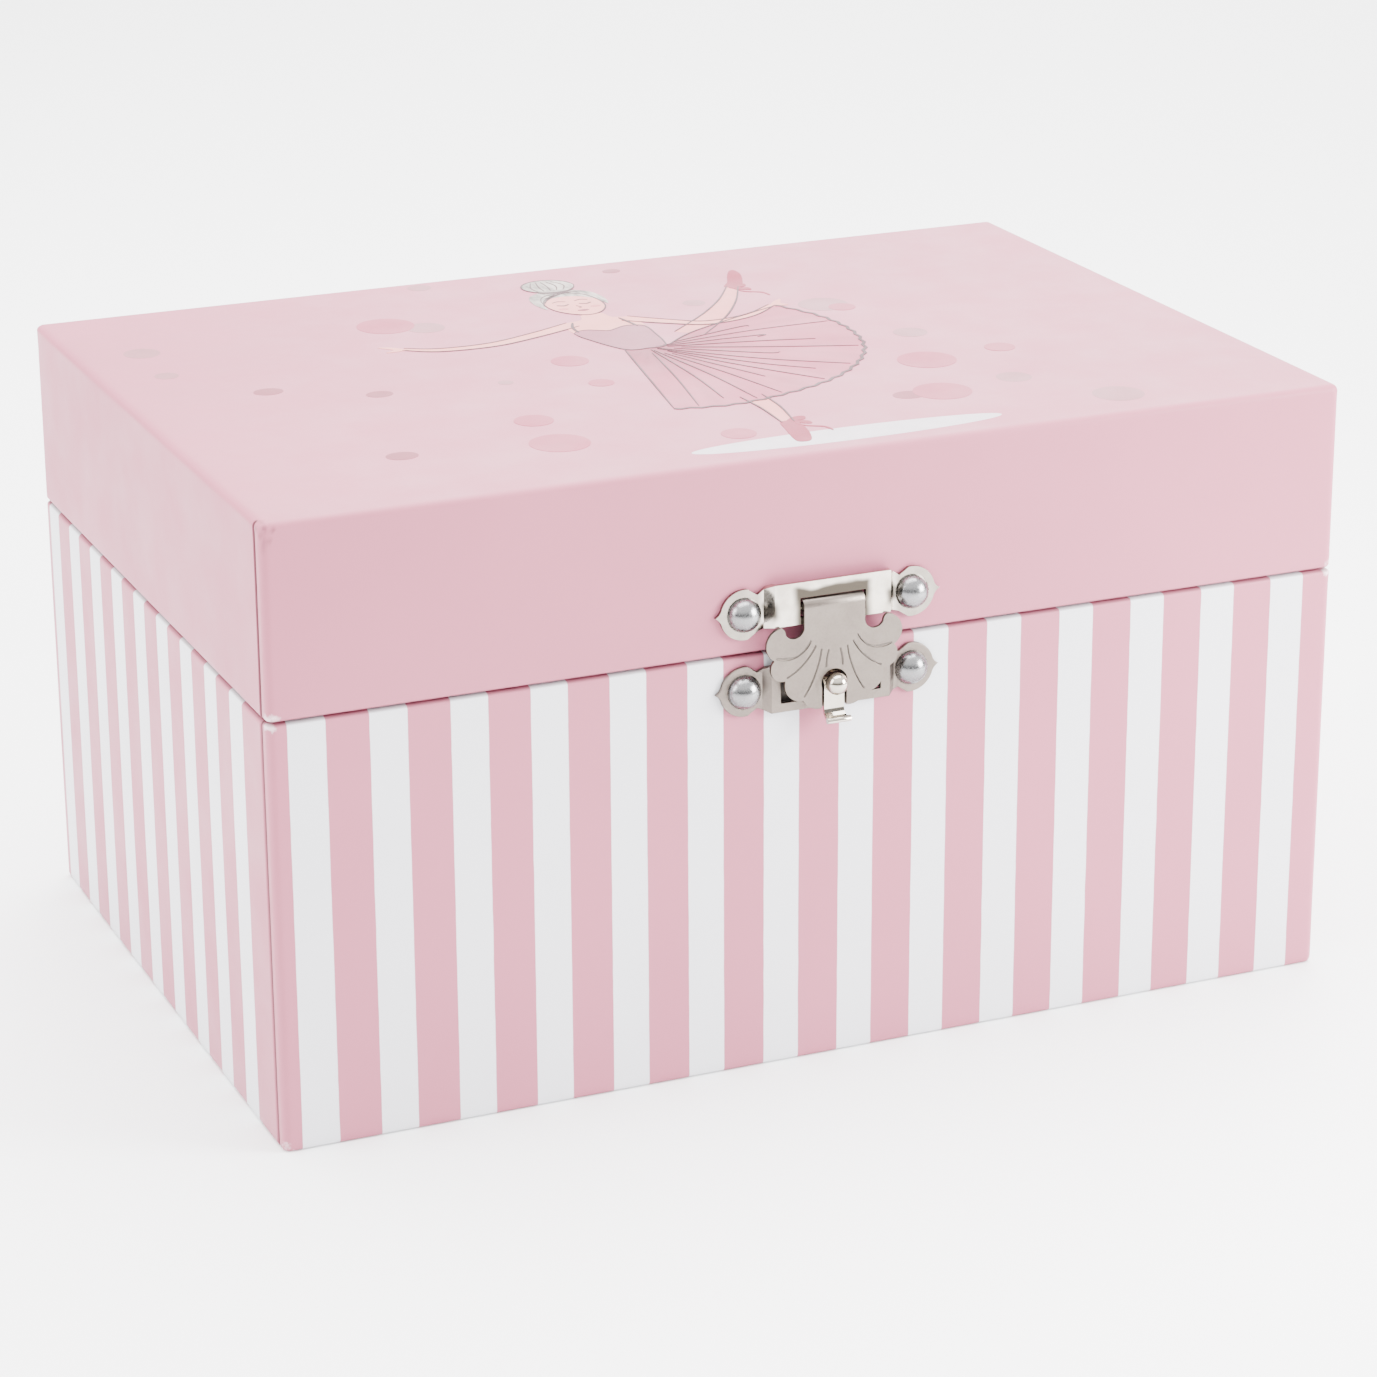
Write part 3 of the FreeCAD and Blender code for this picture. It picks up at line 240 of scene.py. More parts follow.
def board_finish(name, color):
    """Pressed grey board: dark and light specks, and a coarse matt face."""
    f = Finish(name, color, 0.85)
    clouds = f.shades(f.cloud(0.12, 3, 0.2), color, 0.82, 0.95)
    f.use(color=f.mix(f.cloud(2.2, 2, 0.12), clouds, shade(color, 1.12)))
    f.use(normal=f.bump(f.noise(1.4, 5), 0.05, 0.6))
    return f.material


def metal_finish(name, color, roughness, grain=(1, 1, 1), grain_depth=0.3, waves=0.0):
    """Plated or machined metal: faint tarnish in clouds, fine grain, and small scratches in the gloss.
    waves is how far a thin stamping's face is from flat, in millimetres."""
    f = Finish(name, color, roughness, Metallic=1.0)
    scratches = f.noise(3.5, 2, grain)
    f.use(color=f.shades(f.cloud(0.35, 4, 0.2), color, 0.88, 1.04))
    f.use(roughness=f.spread(scratches, 0.3, 0.7, roughness * 0.75, roughness * 1.35))
    flat = f.bump(f.noise(0.10, 0), waves) if waves else None
    f.use(normal=f.bump(scratches, 0.006, grain_depth, flat))
    return f.material


BRIGHT_NICKEL = (0.46, 0.415, 0.36)


def bracket_finish():
    """Bright nickel on the stamped bracket, with a painted reflection: painted dark in the hollow over the
    hasp, at the bends beside its nails and on the ears, and bright on the shoulders."""
    f = Finish("bracket_nickel", BRIGHT_NICKEL, 0.13, Metallic=1.0)
    band_z = extent("clasp_lid_bracket")[1].z - 1.15 * MM
    bend_x, bend_z = 8.9 * MM, 65.6 * MM
    x, _, z = f.split(f.place)
    sway = f.cloud(0.22, 1, 0.2, -0.4 * MM, 0.4 * MM)
    out = f.math("ADD", f.math("ABSOLUTE", x), sway)
    under_band = f.fade(f.math("ADD", z, sway), band_z, band_z + 0.7 * MM)
    hollow = f.math("MULTIPLY", f.fade(out, 4.8 * MM, 6.0 * MM), under_band)
    beside = f.fade(f.math("ABSOLUTE", f.math("ADD", out, -bend_x)), 0.5 * MM, 1.5 * MM)
    level = f.fade(f.math("ABSOLUTE", f.math("ADD", z, -bend_z)), 0.5 * MM, 1.7 * MM, 0.95)
    ears = f.fade(f.math("ABSOLUTE", x), 9.2 * MM, 10.4 * MM, 0.0, 0.55)
    # Painted reflection: a dark reflection painted by place on the hollow, the bends and the ears.
    painted_dark_reflection = f.math("MAXIMUM", f.math("MAXIMUM", hollow, f.math("MULTIPLY", beside, level)), ears)
    clear = f.mix(f.cloud(0.45, 3, 0.15), (0.40, 0.36, 0.31), (0.54, 0.49, 0.43))
    f.use(color=f.mix(painted_dark_reflection, clear, (0.050, 0.042, 0.033)))
    f.use(roughness=f.cloud(3.5, 2, 0.2, 0.10, 0.19))
    f.use(normal=f.bump(f.noise(3.5, 2), 0.006, 0.2))
    return f.material


def velvet_finish(name, color):
    """Short pile: light at grazing angles, with brushed patches."""
    sheen = {"Sheen Weight": 0.7, "Sheen Roughness": 0.35, "Sheen Tint": (1.0, 0.62, 0.70, 1.0)}
    f = Finish(name, color, 0.9, **sheen)
    pile = f.noise(4.0, 2)
    brushed = f.cloud(0.1, 3, 0.15, stretch=(1, 0.5, 1))
    f.use(color=f.mix(brushed, f.shades(pile, color, 0.72, 0.95), shade(color, 1.08)))
    f.use(normal=f.bump(pile, 0.12, 0.7))
    return f.material


def felt_finish(name, color):
    """Pressed felt: short tangled fibres and a soft edge light."""
    f = Finish(name, color, 0.95, **{"Sheen Weight": 0.4, "Sheen Roughness": 0.6})
    fibres = f.noise(2.6, 6)
    f.use(color=f.shades(f.spread(fibres, 0.35, 0.65), color, 0.75, 1.15))
    f.use(normal=f.bump(fibres, 0.15, 0.8))
    return f.material


def tulle_finish():
    """Fine nylon net with a pearly sheen: the voids between its threads let light through."""
    f = Finish("tulle_net", (0.72, 0.50, 0.56), 0.45, **{"Sheen Weight": 0.5})
    cells = f.node("ShaderNodeTexVoronoi", {"Vector": f.place, "Scale": 2.4 / MM}, feature="DISTANCE_TO_EDGE")
    f.set(f.shader, {"Alpha": f.spread(cells.outputs["Distance"], 0.02, 0.10, 1.0, 0.30)})
    f.use(color=f.mix(f.noise(0.3, 3), (0.62, 0.38, 0.45), (0.80, 0.62, 0.67)))
    return f.material


def plastic_finish(name, color, roughness, peel=0.5):
    """Moulded plastic: a faint flow mottling, and orange peel in the gloss."""
    f = Finish(name, color, roughness)
    f.use(color=f.shades(f.cloud(0.2, 3, 0.2, stretch=(1, 1, 0.4)), color, 0.94, 1.03))
    f.use(roughness=f.cloud(0.8, 2, 0.2, roughness * 0.85, roughness * 1.15))
    f.use(normal=f.bump(f.noise(1.2, 2), 0.012, peel))
    return f.material


def mirror_finish():
    """Silvered glass with a faint haze of dust."""
    f = Finish("mirror_silver", (0.88, 0.90, 0.90), 0.02, Metallic=1.0)
    dust = f.spread(f.noise(0.25, 6), 0.55, 0.8)
    f.use(roughness=f.math("MULTIPLY", dust, 0.06), color=f.mix(dust, (0.89, 0.91, 0.91), (0.80, 0.82, 0.82)))
    return f.material


# ---- mesh helpers; a shape is a list of points and a list of faces ----
def in_scene(name, data):
    thing = bpy.data.objects.new(name, data)
    bpy.context.scene.collection.objects.link(thing)
    return thing


def new_mesh(name, shape):
    points, faces = shape
    mesh = bpy.data.meshes.new(name)
    mesh.from_pydata([tuple(p) for p in points], [], faces)
    mesh.validate()
    return mesh


def new_piece(name, shape, finish, body, replaces=(), smooth=True):
    return add_piece(name, new_mesh(name, shape), finish, body, replaces, smooth)


def add_piece(name, mesh, finish, body, replaces=(), smooth=True):
    for polygon in mesh.polygons:
        polygon.use_smooth = smooth
    piece = in_scene(name, mesh)
    for entry in (finish if isinstance(finish, (list, tuple)) else [finish]):
        mesh.materials.append(entry)
    if body:
        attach(piece, body)
    if replaces:
        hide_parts(*replaces)
    return piece


def edit_mesh(piece, change):
    bm = bmesh.new()
    bm.from_mesh(piece.data)
    change(bm)
    bm.to_mesh(piece.data)
    bm.free()
    return piece


def mark_sharp(bm, limit=math.radians(50)):
    """Keeps flat faces flat beside edges that turn by more than the limit."""
    for edge in bm.edges:
        if len(edge.link_faces) == 2:
            edge.smooth = edge.calc_face_angle(0.0) < limit


def weld(bm, distance=2e-6):
    """Joins points that lie together, and turns every face outward."""
    bmesh.ops.remove_doubles(bm, verts=bm.verts, dist=distance)
    bmesh.ops.recalc_face_normals(bm, faces=bm.faces)


def ring_faces(rows, around, closed=False):
    """Quads between rows of points, where each row is a ring. closed joins the last row to the first."""
    faces = []
    for r in range(rows if closed else rows - 1):
        for i in range(around):
            j, s = (i + 1) % around, (r + 1) % rows
            faces.append((r * around + i, r * around + j, s * around + j, s * around + i))
    return faces


def gather(shapes):
    """Joins shapes into one."""
    points, faces = [], []
    for more_points, more_faces in shapes:
        shift = len(points)
        points += more_points
        faces += [tuple(shift + v for v in face) for face in more_faces]
    return points, faces


def slab(outline, low, high):
    """A flat plate: an outline of (x, y), from one height to another."""
    n = len(outline)
    points = [(x, y, z) for z in (low, high) for x, y in outline]
    return points, [tuple(range(n, 2 * n)), tuple(reversed(range(n)))] + ring_faces(2, n)


def smooth_line(points, steps=6, closed=False):
    """A Catmull-Rom line through points."""
    points = [Vector(p).to_3d() for p in points]
    n, line = len(points), []
    for i in range(n if closed else n - 1):
        if closed:
            a, b, c, d = (points[(i + k) % n] for k in (-1, 0, 1, 2))
        else:
            a, b, c, d = (points[min(max(i + k, 0), n - 1)] for k in (-1, 0, 1, 2))
        for step in range(steps):
            t = step / steps
            line.append(0.5 * ((2 * b) + (c - a) * t + (2 * a - 5 * b + 4 * c - d) * t ** 2
                               + (3 * b - a - 3 * c + d) * t ** 3))
    return line if closed else line + [points[-1]]


def smooth_values(values, steps):
    return [p.x for p in smooth_line([(v, 0) for v in values], steps)]


def frames_along(line, closed=False):
    """Directions at right angles to a line, turned as little as possible from point to point."""
    n, frames = len(line), []
    for i in range(n):
        after = line[(i + 1) % n] if closed or i < n - 1 else line[-1]
        before = line[i - 1] if closed or i > 0 else line[0]
        ahead = (after - before).normalized()
        if frames:
            side = frames[-1][0]
        else:
            side = Vector((0, 0, 1)) if abs(ahead.z) < 0.8 else Vector((1, 0, 0))
        side = (side - ahead * side.dot(ahead)).normalized()
        frames.append((side, ahead.cross(side)))
    return frames


def tube(line, radii, sides=12, closed=False):
    """A tube along a line, with domed ends unless it is closed."""
    points = []
    for point, (side, other), radius in zip(line, frames_along(line, closed), radii):
        for k in range(sides):
            angle = 2 * math.pi * k / sides
            points.append(point + side * math.cos(angle) * radius + other * math.sin(angle) * radius)
    n = len(line)
    faces = ring_faces(n, sides, closed)
    if closed:
        return points, faces
    for end, inward in ((0, 1), (n - 1, -1)):
        cap = len(points)
        push = (line[end] - line[end + inward]).normalized() * radii[end] * 0.55
        points += [line[end] + push + (points[end * sides + k] - line[end]) * 0.6 for k in range(sides)]
        points.append(line[end] + push * 1.5)
        for k in range(sides):
            j = (k + 1) % sides
            quad = (end * sides + k, cap + k, cap + j, end * sides + j)
            tip = (cap + k, cap + sides, cap + j)
            faces += [quad, tip] if end == 0 else [quad[::-1], tip[::-1]]
    return points, faces


def islands(node):
    """The low and high corners of each separate solid of a CAD node, from left to right and front to back."""
    bm = bmesh.new()
    bm.from_mesh(frame["nodes"][node].data)
    bmesh.ops.remove_doubles(bm, verts=bm.verts, dist=1e-6)
    left, boxes = set(bm.verts), []
    while left:
        places, queue = [], [left.pop()]
        while queue:
            vert = queue.pop()
            places.append(vert.co.copy())
            for edge in vert.link_edges:
                other = edge.other_vert(vert)
                if other in left:
                    left.discard(other)
                    queue.append(other)
        boxes.append([Vector([pick(axis) for axis in zip(*places)]) for pick in (min, max)])
    bm.free()
    return sorted(boxes, key=lambda b: (round(b[0].x, 4), round(b[0].y, 4)))


# ---- the two paper wraps ----
CORNER_R, ARC_STEPS = 1.1 * MM, 6
CORE_X, CORE_Y = HALF_X - CORNER_R, HALF_Y - CORNER_R
PAPER = 0.22 * MM                                   # how thick a wrap and its glue are at the rims
PITCH, FIRST_WHITE = 10.98 * MM, 2.5 * MM           # the front's stripes, which the right and back go on with
LEFT_PITCH, LEFT_FIRST_WHITE, LEFT_LAST_WHITE = 10.95 * MM, 2.25 * MM, 95.2 * MM
WEAR_REACH = 3.4 * MM
FLAP_Y, FLAP_STEP, FLAP_SEAM = -50.3 * MM, 0.13 * MM, 0.48 * MM     # where the left side's paper overlaps
RIM_ANGLES = (0.0, 0.4, 0.8, 1.2, math.pi / 2)


def side_stops(length, extra=()):
    """Places along a side, dense near its corners."""
    near = [0.0, 0.3, 0.7, 1.2, 1.8, 2.5, 3.4, 4.6, 6.2, 8.5]
    stops = {round(n * MM, 6) for n in near} | {round(length - n * MM, 6) for n in near}
    count = int(length / (6 * MM))
    stops |= {round(length * i / count, 6) for i in range(2, count - 1)}
    return sorted(stops | {round(e, 6) for e in extra})


def wrap_columns():
    """Columns round the box from the back left corner, as (side, share of its straight run, distance along
    the side with its corners, angle that it faces). The sides are left, front, right and back."""
    flap_stops = [CORE_Y - FLAP_Y + step * MM for step in (-0.05, 0.01, 0.12, 0.30, 0.46, 0.52)]
    columns = []
    for side in range(4):
        length, extra = 2 * (CORE_X if side % 2 else CORE_Y), () if side else flap_stops
        facing = (180 + 90 * side) % 360
        for place in side_stops(length, extra):
            columns.append((side, place / length, place + CORNER_R, math.radians(facing)))
        for turned in (i / ARC_STEPS for i in range(1, ARC_STEPS)):
            along = length + CORNER_R * (1 + turned)
            columns.append((side, 1.0, along, math.radians(facing + 90 * turned)))
    return columns


def column_point(column, inset):
    """Where a column stands, inset from the outer face, and its outward direction."""
    side, share, _, angle = column
    radius = max(CORNER_R - inset, 0.02 * MM)
    core_x, core_y = HALF_X - inset - radius, HALF_Y - inset - radius
    places = [Vector((sx * core_x, sy * core_y, 0)) for sx, sy in CORNERS]
    outward = Vector((math.cos(angle), math.sin(angle), 0))
    return places[side].lerp(places[(side + 1) % 4], share) + outward * radius, outward


def stripe_phase(column):
    """The stripe count at a column. The left side's paper ends under the front's, on a pink stripe."""
    side, _, along, _ = column
    if side == 0:
        share = (along - LEFT_LAST_WHITE) / (2 * HALF_Y - LEFT_LAST_WHITE)
        to_corner = -0.5 + share * (0.5 - FIRST_WHITE / PITCH)
        return min((along - LEFT_FIRST_WHITE) / LEFT_PITCH - 9, to_corner)
    done = (0.0, 2 * HALF_X, 2 * HALF_X + 2 * HALF_Y)[side - 1]
    return (done + along - FIRST_WHITE) / PITCH


def crumple(point, corners):
    """Paper gathered at a corner: small creases that fade out over the wear's reach."""
    near = min((point - c).length for c in corners)
    fade = max(0.0, 1.0 - near / WEAR_REACH)
    crease = abs(noise.noise(point * 0.9 / MM)) + 0.6 * abs(noise.noise(point * 2.1 / MM))
    return fade * fade * (crease - 0.25)


def unevenness(point, column, inset, corners):
    """How far the paper stands out from its true place, in millimetres."""
    out = noise.noise(point * 0.035 / MM) * 0.05 + noise.noise(point * 0.16 / MM) * 0.015
    out += 0.42 * crumple(point, corners)
    if point.z > RIM_Z + 5 * MM:
        out += 0.07 * math.exp(-((inset + abs(point.z - TOP_Z)) / MM) ** 2)
    if column[0] == 0:
        place = column[2] - CORNER_R
        past_flap = place - (CORE_Y - FLAP_Y)
        if past_flap < -0.01 * MM:
            out += FLAP_STEP / MM * min(1.0, place / (8 * MM))
        elif past_flap < FLAP_SEAM:
            out -= 0.12
    return out


def wrap_points(rows, columns, corners):
    """Points of loops swept round the box. rows are (inset, height, share of the unevenness)."""
    points = []
    for inset, z, share in rows:
        for column in columns:
            place, outward = column_point(column, inset)
            point = Vector((place.x, place.y, z))
            if share:
                point += outward * unevenness(point, column, inset, corners) * MM * share
            points.append(point)
    return points


def box_corners(*heights):
    return [Vector((sx * HALF_X, sy * HALF_Y, z)) for z in heights for sx, sy in CORNERS]


def rolled_edge(z, radius, angles):
    """Rows that turn in from the outer face below an edge at height z."""
    return [(radius * (1 - math.cos(a)), z - radius * (1 - math.sin(a)), 1 - a / 2) for a in angles]


def set_wrap_data(piece, swept, columns, worn_corners):
    """UVs that count the stripes on the swept faces, and at each point its wear and its painted shade."""
    closing = (2 * (2 * HALF_X + HALF_Y) - FIRST_WHITE) / PITCH
    phases = [stripe_phase(c) for c in columns] + [closing]
    layer = piece.data.uv_layers.new(name="wrap")
    for index, face in enumerate(swept):
        first = index % len(columns)
        for k, (corner, step) in enumerate(zip(face, (0, 1, 1, 0))):
            z = piece.data.vertices[corner].co.z
            layer.data[4 * index + k].uv = (phases[first + step], z / PITCH)
    wear = piece.data.attributes.new("wear", "FLOAT", "POINT")
    painted_shade = piece.data.attributes.new("painted_shade", "FLOAT", "POINT")
    pinch = Vector((-HALF_X, -HALF_Y, TOP_Z - 1.4 * MM))
    for v in piece.data.vertices:
        near = min((v.co - c).length for c in worn_corners)
        wear.data[v.index].value = max(0.0, 1.0 - near / WEAR_REACH)
        # Painted shade: dark along the left side's overlap, milder along the seam between lid and base, and
        # in flecks in a crease at the lid's top front left corner.
        beside_flap = v.co.x < -HALF_X + 0.6 * MM and -FLAP_SEAM < v.co.y - FLAP_Y < 0.02 * MM
        in_seam = abs(v.co.z - (RIM_Z + SEAM_Z) / 2) < 0.34 * MM
        outside = max(abs(v.co.x) - HALF_X, abs(v.co.y) - HALF_Y) > -0.75 * MM
        pinched = 0.8 * max(0.0, noise.noise(v.co * 1.7 / MM)) if (v.co - pinch).length < 2.4 * MM else 0.0
        painted_shade.data[v.index].value = 1.0 if beside_flap else 0.45 if in_seam and outside else pinched


def base_wrap(finish):
    """The striped paper: round the lower edge, up the sides, over the rim and down behind the boards."""
    turn, inner_z, under_z = 0.55 * MM, RIM_Z - PAPER, UNDER_Z - 0.02 * MM
    rows = [(1.4 * MM, 0.04 * MM, 0), (turn, 0.04 * MM, 0), (0.16 * MM, 0.2 * MM, 0.3), (0, 0.6 * MM, 1)]
    heights = [1.5, 4, 9, 16, 24, 32, 40, 47, 51.5, 54, 55.5, 56.6, 57.4, 58, 58.5]
    rows += [(0, h * MM, 1) for h in heights] + rolled_edge(RIM_Z, turn, RIM_ANGLES)
    rows += [(inset, RIM_Z, 0) for inset in (1.2 * MM, 2.0 * MM, LINED_IN)]
    rows += [(LINED_IN, inner_z, 0), (turn, inner_z, 0), (BOARD_IN, RIM_Z - 1.2 * MM, 0),
             (BOARD_IN, UNDER_Z + 0.7 * MM, 0), (turn, under_z, 0), (1.4 * MM, under_z, 0)]
    columns = wrap_columns()
    points = wrap_points(rows, columns, box_corners(RIM_Z))
    faces = ring_faces(len(rows), len(columns), True)
    piece = new_piece("base_wrap", (points, faces), finish, "base", ["base_cover_paper"])
    set_wrap_data(piece, faces, columns, box_corners(RIM_Z, 0))


def lid_wrap(finish):
    """The pink paper: in over the lid's rim, up the sides and flat over the top, with its inner face."""
    turn, under = 0.5 * MM, TOP_Z - PAPER
    rows = [(inset, SEAM_Z, 0) for inset in (LINED_IN, 2.0 * MM, 1.2 * MM)]
    rows += [(turn * (1 - math.sin(a)), SEAM_Z + turn * (1 - math.cos(a)), a / 2) for a in RIM_ANGLES]
    rows += [(0, SEAM_Z + h * MM, 1) for h in (1.0, 1.7, 2.6, 4, 7, 11, 15, 18.5, 20.5, 22, 23.2, 24, 24.7)]
    rows += rolled_edge(TOP_Z, 0.95 * MM, (0.0, 0.25, 0.55, 0.85, 1.2, math.pi / 2))
    rows += [(i * MM, TOP_Z, 0) for i in (1.5, 2.2, 3.2, 4.5, 7, 12, 20, 30, 40, 50)]
    backs = [(LINED_IN, SEAM_Z + PAPER, 0), (turn, SEAM_Z + PAPER, 0), (BOARD_IN, SEAM_Z + 1.2 * MM, 0),
             (BOARD_IN, TOP_Z - 1.2 * MM, 0), (turn * 1.2, under, 0), (50 * MM, under, 0)]
    columns = wrap_columns()
    corners, n = box_corners(TOP_Z, SEAM_Z), len(columns)
    outer, back = wrap_points(rows, columns, corners), wrap_points(backs, columns, corners)
    swept, shift, end = ring_faces(len(rows), n), len(outer), len(outer) + len(back)
    faces = swept + [tuple(shift + v for v in reversed(f)) for f in ring_faces(len(backs), n)]
    faces += [(i, shift + i, shift + (i + 1) % n, (i + 1) % n) for i in range(n)]
    faces += [tuple(range(shift - n, shift)), tuple(reversed(range(end - n, end)))]
    piece = new_piece("lid_wrap", (outer + back, faces), finish, "lid", ["lid_cover_paper"])
    set_wrap_data(piece, swept, columns, box_corners(SEAM_Z))
    edit_mesh(piece, mark_sharp)


# ---- camera, lights, floor ----
def softbox(name, place, target, size, watts):
    data = bpy.data.lights.new(name, "AREA")
    data.size, data.energy = size, watts
    lamp = in_scene(name, data)
    lamp.location = place
    lamp.rotation_euler = (Vector(target) - Vector(place)).to_track_quat("-Z", "Y").to_euler()


def place_camera():
    azimuth, elevation, roll = (math.radians(d) for d in (-23.175, 19.803, -0.294))
    distance, aside, raised = (share * 2 * HALF_X for share in (4.0460, 0.01583, 0.21716))
    level = math.cos(elevation)
    back = Vector((math.sin(azimuth) * level, -math.cos(azimuth) * level, math.sin(elevation)))
    right = Vector((math.cos(azimuth), math.sin(azimuth), 0))
    up = back.cross(right)
    rolled_right = right * math.cos(roll) + up * math.sin(roll)
    data = bpy.data.cameras.new("photo_camera")
    data.lens, data.sensor_width = 110.87, 36.0
    camera = in_scene("photo_camera", data)
    turn = Matrix((rolled_right, back.cross(rolled_right), back)).transposed().to_4x4()
    camera.matrix_world = Matrix.Translation(back * distance + right * aside + up * raised) @ turn
    bpy.context.scene.camera = camera


def studio_floor():
    reach = 4.0
    floor = new_mesh("studio_floor", ([(x * reach, y * reach, 0) for x, y in CORNERS], [(0, 1, 2, 3)]))
    f = Finish("floor_white", (0.9, 0.9, 0.9), 0.7)
    f.use(color=f.mix(f.noise(0.002, 2), (0.84, 0.84, 0.845), (0.86, 0.86, 0.86)))
    floor.materials.append(f.material)
    sweep = in_scene("studio_floor", floor)


def studio_air():
    """A white world that is dim at the horizon and bright overhead."""
    horizon, overhead, dim, bright = 0.08, 0.62, 0.34, 3.4
    world = bpy.data.worlds.new("studio_air")
    bpy.context.scene.world = world
    air = Nodes(world, "Background")
    strength = air.fade(air.split(air.direction)[2], horizon, overhead, dim, bright)
    air.set(air.shader, {"Color": (1, 1, 1, 1), "Strength": strength})


def build_stage():
    place_camera()
    softbox("top_light", (0.0, 0.12, 0.75), (0, 0, 0.08), 0.8, 25.0)
    softbox("right_light", (0.27, -0.24, 0.15), (0.04, -0.05, 0.05), 0.17, 4.8)
    softbox("left_light", (-0.95, 0.05, 0.50), (0, 0, 0.04), 0.7, 21.0)
    softbox("back_light", (0.6, 0.9, 0.6), (0, 0, 0.04), 0.8, 14.0)
    studio_floor()
    studio_air()


# ---- the print on the lid: flat shapes of ink, in millimetres from the middle of its top ----
INK_STEP = 0.012 * MM       # each ink lies this much above the one under it
WAIST = Vector((-1.6, 4.2, 0))


def print_ink(name, outlines, finish, level):
    """Outlines that may overlap, each a little higher than the one before in a run of four."""
    slabs = []
    for index, outline in enumerate(outlines):
        top = TOP_Z + INK_STEP * level + (index % 4) * INK_STEP / 4
        area = sum(a[0] * b[1] - b[0] * a[1] for a, b in zip(outline, outline[1:] + outline[:1]))
        outline = outline if area > 0 else outline[::-1]
        slabs.append(slab([(x * MM, y * MM) for x, y in outline], TOP_Z - 0.01 * MM, top))
    return new_piece(name, gather(slabs), finish, "lid", smooth=False)


def ring_points(x, y, rx, ry, count=36):
    angles = [2 * math.pi * i / count for i in range(count)]
    return [(x + rx * math.cos(a), y + ry * math.sin(a)) for a in angles]


def blob(points, steps=6):
    return [p[:2] for p in smooth_line(points, steps, True)]


def band(line, widths):
    """The two edges of a flat band along a line."""
    last, left, right = len(line) - 1, [], []
    for i, (point, width) in enumerate(zip(line, widths)):
        ahead = (line[min(i + 1, last)] - line[max(i - 1, 0)]).normalized()
        side = Vector((-ahead.y, ahead.x, 0)) * width / 2
        left.append((point + side)[:2])
        right.append((point - side)[:2])
    return left, right


def limb_band(points, widths, steps=8):
    return band(smooth_line(points, steps), smooth_values(widths, steps))


def closed(edges):
    left, right = edges
    return left + right[::-1]


def stroke(points, width, steps=6, taper=True):
    """A pen line, thinner at its ends."""
    line = smooth_line(points, steps)
    shares = [i / (len(line) - 1) for i in range(len(line))]
    widths = [width * (0.35 + 0.65 * math.sin(math.pi * t) ** 0.5 if taper else 1.0) for t in shares]
    return closed(band(line, widths))


def print_dots():
    pink = [(-31.6, 30.5, 4.2), (-14.3, 2, 2.7), (-14.5, -10.2, 1.8), (-29.8, -23.8, 2.7),
            (-30.5, -35, 4.1), (-7.3, -40.6, 2.4), (31.6, -17.9, 4.2), (44, -16, 2.2), (26.4, -33.2, 4.1),
            (33.2, 13.4, 2.0)]
    deep = [(-57.8, 4.3, 2.1), (-44.3, -3.1, 1.9), (-51.4, -32.1, 2.2), (10.4, 47, 1.4), (21.4, -33, 2.3)]
    grey = [(-68, 30.6, 2.6), (-68.2, 17.8, 1.7), (-26.6, 27.3, 2.8), (-26.5, -4.7, 1.1), (-19.6, 49.4, 1.8),
            (14.3, 24.4, 1.7), (31.3, 15.9, 3.7), (36, -3.6, 2.5), (38.6, -30.8, 2.5), (47.7, -44.1, 3.6)]
    kinds = [("grey", grey, 1, (0.280, 0.118, 0.140)), ("deep", deep, 0.8, (0.215, 0.052, 0.078)),
             ("pink", pink, 1.0, (0.310, 0.060, 0.102))]
    for level, (name, dots, squash, color) in enumerate(kinds, 1):
        outlines = [ring_points(x, y, r, r * squash) for x, y, r in dots]
        print_ink("print_dots_" + name, outlines, ink_finish("ink_" + name, color), level)
    floor = ring_points(6, -46.5, 22.6, 2.9, 64)
    print_ink("print_floor", [floor], ink_finish("ink_white", (0.47, 0.42, 0.45)), 1)


def skirt_hem(t):
    """The skirt's hem from its back, t = 0, round to its left, t = 1."""
    line = smooth_line([(24.5, 18), (27.8, 10), (28.6, 1.5), (26.8, -7), (22.4, -14.6), (15.6, -21),
                        (7, -25.2), (-2, -27.4), (-10.4, -26.2)], 12)
    at = t * (len(line) - 1)
    i = min(int(at), len(line) - 2)
    return line[i].lerp(line[i + 1], at - i)


def scalloped_hem(count=96, scallops=24):
    hem = []
    for t in (i / count for i in range(count + 1)):
        point = skirt_hem(t)
        hem.append((point + (point - WAIST).normalized() * 0.42 * abs(math.sin(math.pi * t * scallops)))[:2])
    return hem


def shoe_bow(x, y):
    """Two loops and a hanging end of ribbon."""
    return [blob([(x, y), (x + 1.6, y + 1.4), (x + 3, y + 1.2), (x + 2.4, y - 0.2)]),
            blob([(x, y), (x + 1.3, y - 1.7), (x + 2.6, y - 2.3), (x + 2.5, y - 0.9)]),
            stroke([(x + 0.4, y - 0.4), (x + 1.2, y - 2.8), (x + 3.4, y - 4.4), (x + 3.8, y - 6.4)], 0.45)]


